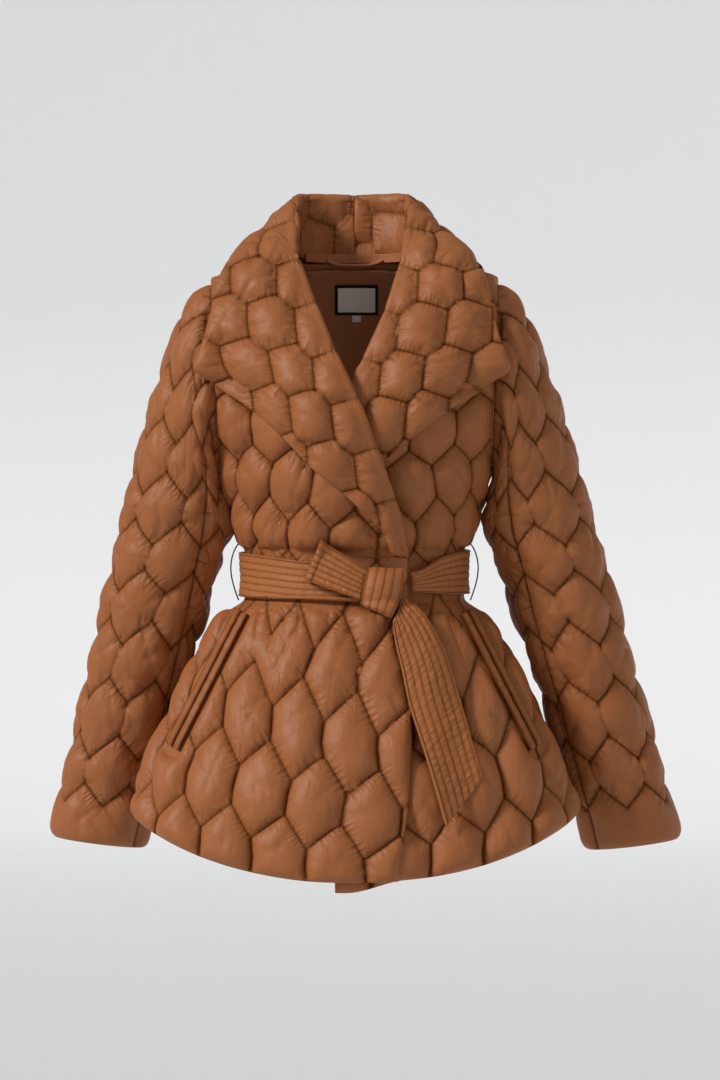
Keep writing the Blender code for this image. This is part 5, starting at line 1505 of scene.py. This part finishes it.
# ---------------------------------------------------------------- pocket welts
def pocket_welt(which, side, name, shift):
    """One padded strip of a pocket's edge: a flattened round across, tapered at its ends and
    lightly puckered."""
    along = unit(np.array(WELT_FOOT) - np.array(WELT_TOP))
    across = np.array((along[1], -along[0]))
    share = np.linspace(0.0, 1.0, fit(105))[:, None]
    part = np.linspace(0.0, 1.0, fit(13))[None]
    from_line = shift + part * WELT_WIDTH
    x = WELT_TOP[0] + (WELT_FOOT[0] - WELT_TOP[0]) * share + across[0] * from_line
    z = WELT_TOP[1] + (WELT_FOOT[1] - WELT_TOP[1]) * share + across[1] * from_line
    base = np.stack([side * x, front_y(x, z), z], axis=-1)
    normal = grid_normals(base)
    normal *= np.sign(-normal[..., 1:2].mean())
    run, _ = run_along(base, 0)
    crown = np.sqrt(np.maximum(1 - (2 * part - 1) ** 2, 0.0))
    ends = np.sqrt(np.maximum(1 - np.abs(2 * share - 1) ** 24, 0.0))
    pucker = 0.0005 * lattice_noise(run, part * 0.008, 0.0065, 0.004, 111 + int(side > 0))
    lift = (0.45 * WELT_RISE + pucker) * crown ** 0.5 * ends + 0.0005
    outer = base + normal * lift[..., None]
    # Painted shade along both long edges of the welt, kept in the seam layer and fading over about 1.6 mm.
    seam = np.exp(-np.minimum(part, 1 - part) * WELT_WIDTH / 0.0016)
    node = f"welt_{which}_{name}"
    piece = closed_shell(f"{node}_padded", outer, coarse_grid(base - normal * 0.002), (SHELL, SHELL),
                         (("stitch", CLEAR_OF_STITCHES, 9.0), ("seam", seam, 0.0)), flip=True)
    add_cloth_map(piece, run, part * WELT_WIDTH)
    dressed(piece, "shell", node)
    return piece


# ---------------------------------------------------------------- inside of the back neck
def back_lining():
    """The plain inside of the back: a smooth sheet under the back with a few soft drags."""
    heights = np.linspace(-0.200, 0.002, fit(81))[:, None]
    reach = 0.062 + 0.045 * ramp(-heights, 0.0, 0.12)
    share = np.linspace(-1.0, 1.0, fit(89))[None]
    u = reach * share
    base, normal = body_point(edge_angle(u, heights, 1, 1), heights, 1)
    depth = BODY_WALL + FACING_CLEAR + LINING_WALL
    fold = 0.0007 * lattice_noise(u, heights, 0.012, 0.060, 121) * ramp(-heights, 0.075, 0.110)
    outer = base - normal * (depth + fold)[..., None]
    inner = coarse_grid(base - normal * (depth - LINING_WALL + 0.0004))
    piece = closed_shell("back_lining", outer, inner, (LINING, LINING),
                         (("stitch", CLEAR_OF_STITCHES, 9.0), ("seam", 0.0, 0.0)))
    add_cloth_map(piece, u, heights)
    dressed(piece, "lining", "back_facing")
    return piece


def ring_point(x, inset):
    """X and Y on the back half of the neck ring moved in by an inset."""
    half, depth, _ = section(NECK_RING, 1)
    across, deep = half - inset, depth - inset
    return x, deep * (1 - np.abs(x / across) ** OVAL_POWER) ** (1 / OVAL_POWER)


TRIM_SLOTS = {"neck_tape": "belt_cloth", "label": "label_border", "label_face": "label_face",
              "size_tab": "label_face"}


def trim_piece(node, base, normal, wall, finish):
    """A thin woven trim, its outer grid base, rounded at all four edges, with a plain back."""
    down, up = run_along(base, 0)
    right, left = run_along(base, 1)
    edge = np.minimum(np.minimum(down, up), np.minimum(right, left))
    turn = np.sqrt(1 - (1 - np.clip(edge / wall, 0.0, 1.0)) ** 2)
    outer = base - normal * ((1 - turn) * 0.35 * wall)[..., None]
    piece = closed_shell(f"{node}_woven", outer, coarse_grid(base - normal * wall), (finish, finish),
                         (("stitch", CLEAR_OF_STITCHES, 9.0),))
    add_cloth_map(piece, right, down)
    return dressed(piece, TRIM_SLOTS[node], node)


def inside_patch(node, box, depth, wall, finish, seed):
    """A patch laid inside the back, its face that deep under the back's surface, lifting a little
    in soft waves."""
    low_x, high_x, low_z, high_z = box
    x = np.linspace(low_x, high_x, fit(41))[None]
    height = np.linspace(low_z, high_z, fit(33))[:, None]
    points, normals = body_point(edge_angle(x, height, 1, 1), height, 1)
    wave = 0.0003 * lattice_noise(x, height, 0.014, 0.020, seed)
    base = points - normals * (depth + wall + wave)[..., None]
    return trim_piece(node, base, -normals, wall, finish)


def neck_tape():
    """The tape over the neck seam, lying in small waves."""
    x = np.linspace(-TAPE_HALF, TAPE_HALF, fit(161))[None]
    height = np.linspace(TAPE_HEIGHTS[0] + 0.0005, TAPE_HEIGHTS[-1] - 0.0035, fit(25))[:, None]
    wave = 0.0004 * lattice_noise(x, height, 0.006, 0.020, 131)
    _, y = ring_point(x, TAPE_INSET + TAPE_WALL + wave)
    base = np.stack(np.broadcast_arrays(x, y, height), axis=-1)
    normal = grid_normals(base)
    normal *= np.sign(-normal[..., 1:2].mean())
    piece = trim_piece("neck_tape", base, normal, TAPE_WALL, BELT_CLOTH)


def cord_piece(node, path, radius, finish, slot):
    """A round cord of three plies twisted together, with a flat cap at each end."""
    sides = 18
    twist = 2 * math.pi * 3.0 / (14 * radius)
    run = np.concatenate([[0.0], np.cumsum(np.linalg.norm(np.diff(path, axis=0), axis=1))])
    ahead = unit(np.gradient(path, axis=0))
    side = unit(np.cross(ahead, np.array([0.0, 1.0, 0.1])))
    up = np.cross(ahead, side)
    turn = np.linspace(0.0, 2 * math.pi, sides, endpoint=False)[None]
    bulge = radius * (0.90 + 0.10 * np.abs(np.cos(1.5 * turn - run[:, None] * twist / 2)))
    points = (path[:, None] + (np.cos(turn) * bulge)[..., None] * side[:, None]
              + (np.sin(turn) * bulge)[..., None] * up[:, None])
    place = np.arange(len(path) * sides).reshape(len(path), sides)
    beside = np.roll(place, -1, axis=1)
    faces = np.stack([place[:-1], beside[:-1], beside[1:], place[1:]], axis=-1).reshape(-1, 4).tolist()
    faces += [place[0, ::-1].tolist(), place[-1].tolist()]
    mesh = bpy.data.meshes.new(node)
    mesh.from_pydata(points.reshape(-1, 3).tolist(), [], faces)
    mesh.materials.append(finish)
    mesh.polygons.foreach_set("use_smooth", np.ones(len(faces), dtype=bool))
    piece = bpy.data.objects.new(f"{node}_twisted", mesh)
    bpy.context.scene.collection.objects.link(piece)
    return dressed(piece, slot, node)


def hanger_loop():
    """The hanging loop, sagging a little in front of the tape."""
    share = np.linspace(-1.0, 1.0, 121)
    x, y = ring_point(share * HANGER_HALF, TAPE_INSET + TAPE_WALL + HANGER_RADIUS + 0.0003)
    path = np.stack([x, y, HANGER_MIDDLE + HANGER_END_RISE * share ** 4], axis=1)
    return cord_piece("hanger_loop", path, HANGER_RADIUS, LINING, "belt_cloth")


def belt_loop(which, side):
    """A thread loop at the side seam, round the belt."""
    share = np.linspace(0.0, 1.0, 161)
    height = LOOP_TOP + (LOOP_FOOT - LOOP_TOP) * share
    ends = section(LOOP_TOP, -1)[0] * (1 - share) + section(LOOP_FOOT, -1)[0] * share
    bow = np.maximum(np.sin(math.pi * share), 0.0) ** 0.8 * (1.1 - 0.5 * share)
    out = side * (ends + LOOP_RADIUS + LOOP_CLEAR + LOOP_STAND * bow)
    path = np.stack([out, np.zeros(len(share)), height], axis=1)
    return cord_piece(f"belt_loop_{which}", path, LOOP_RADIUS, THREAD, "thread")


def label_pieces():
    """Label with a dark border, its bare face, and a small bare tab under it."""
    depth = BODY_WALL + FACING_CLEAR + LINING_WALL + LABEL_CLEAR
    low_x, high_x, low_z, high_z = LABEL_BOX
    face = (low_x + LABEL_BORDER, high_x - LABEL_BORDER, low_z + LABEL_BORDER, high_z - LABEL_BORDER)
    label = inside_patch("label", LABEL_BOX, depth, LABEL_WALL, LABEL_DARK, 141)
    over = depth + LABEL_WALL + 0.0002
    bare_face = inside_patch("label_face", face, over, LABEL_WALL / 2, LABEL_PALE, 141)
    tab = inside_patch("size_tab", TAB_BOX, depth, LABEL_WALL, LABEL_PALE, 142)


def build_coat():
    """Every piece of the coat, each in place of its solid."""
    for which, side, table in (("right", -1, COLLAR_RIGHT), ("left", 1, COLLAR_LEFT)):
        front_piece(which, side)
        sleeve_piece(which, side, "upper", fit(UPPER_LINES))
        sleeve_piece(which, side, "under", fit(UNDER_LINES))
        collar_piece(which, side, table)
        pocket_welt(which, side, "side", -WELT_WIDTH - 0.0003)
        pocket_welt(which, side, "front", 0.0003)
        belt_loop(which, side)
    back_piece()
    back_lining()
    belt_round()
    belt_knot()
    belt_end_short()
    belt_end_long()
    neck_tape()
    hanger_loop()
    label_pieces()


# ---------------------------------------------------------------- studio
def backdrop():
    """A pale paper floor, square with round corners, turned up far off."""
    paper, tree, shader = new_material("matt_backdrop_paper", "#E6E7E8", 0.95, specular=0.1)
    grain = add_node(tree, "ShaderNodeTexNoise", values={"Scale": 2.0, "Detail": 1.0})
    shade = add_node(tree, "ShaderNodeMix", {"data_type": "RGBA"},
                     {6: srgb_to_linear("#E6E7E8"), 7: srgb_to_linear("#E8E9EA")},
                     {0: grain.outputs["Fac"]})
    tree.links.new(shade.outputs[2], shader.inputs["Base Color"])
    turn = np.linspace(0.0, math.pi / 2, 24)
    rim = FLOOR_REACH + FLOOR_TURN
    out = np.concatenate([[0.05, 4.0], FLOOR_REACH + FLOOR_TURN * np.sin(turn), [rim]])
    rise = np.concatenate([[0.0, 0.0], FLOOR_TURN * (1 - np.cos(turn)), [FLOOR_RIM]])
    way = np.linspace(0.0, 2 * math.pi, 160, endpoint=False)[:, None]
    square = (np.cos(way) ** FLOOR_POWER + np.sin(way) ** FLOOR_POWER) ** (-1 / FLOOR_POWER)
    points = np.stack(np.broadcast_arrays(out * square * np.cos(way), out * square * np.sin(way),
                                          rise + FLOOR_LEVEL), axis=-1)
    place = np.arange(points[..., 0].size).reshape(points.shape[:2])
    beside = np.roll(place, -1, axis=0)
    faces = np.stack([place[:, :-1], place[:, 1:], beside[:, 1:], beside[:, :-1]], axis=-1)
    faces = faces.reshape(-1, 4).tolist()
    faces.append(place[:, 0].tolist())
    mesh = bpy.data.meshes.new("floor")
    mesh.from_pydata(points.reshape(-1, 3).tolist(), [], faces)
    mesh.materials.append(paper)
    mesh.polygons.foreach_set("use_smooth", np.ones(len(faces), dtype=bool))
    floor = bpy.data.objects.new("floor", mesh)
    bpy.context.scene.collection.objects.link(floor)


def studio():
    """The backdrop, a key light from the upper left, a fill, a top light, the air and the camera."""
    backdrop()
    for name, (way, strength, spread, tint) in LAMPS.items():
        lamp = bpy.data.lights.new(name, "SUN")
        lamp.energy = strength
        lamp.angle = math.radians(spread)
        lamp.color = srgb_to_linear(tint)[:3]
        lit = bpy.data.objects.new(name, lamp)
        lit.location = [LAMP_DISTANCE * part for part in way]
        tilt, turn = math.acos(way[2] / np.linalg.norm(way)), math.atan2(way[0], -way[1])
        lit.rotation_euler = (tilt, 0.0, turn)
        bpy.context.scene.collection.objects.link(lit)
    world = bpy.data.worlds.new("studio_air")
    world.use_nodes = True
    air = world.node_tree.nodes["Background"]
    air.inputs["Color"].default_value = srgb_to_linear(AIR[0])
    air.inputs["Strength"].default_value = AIR[1]
    bpy.context.scene.world = world
    bpy.context.scene.view_settings.view_transform = "Standard"
    lens = bpy.data.cameras.new("camera")
    lens.lens = CAMERA_LENS
    camera = bpy.data.objects.new("camera", lens)
    camera.location = CAMERA_PLACE
    camera.rotation_euler = (math.pi / 2, 0.0, 0.0)
    bpy.context.scene.collection.objects.link(camera)
    bpy.context.scene.camera = camera


studio()
build_coat()
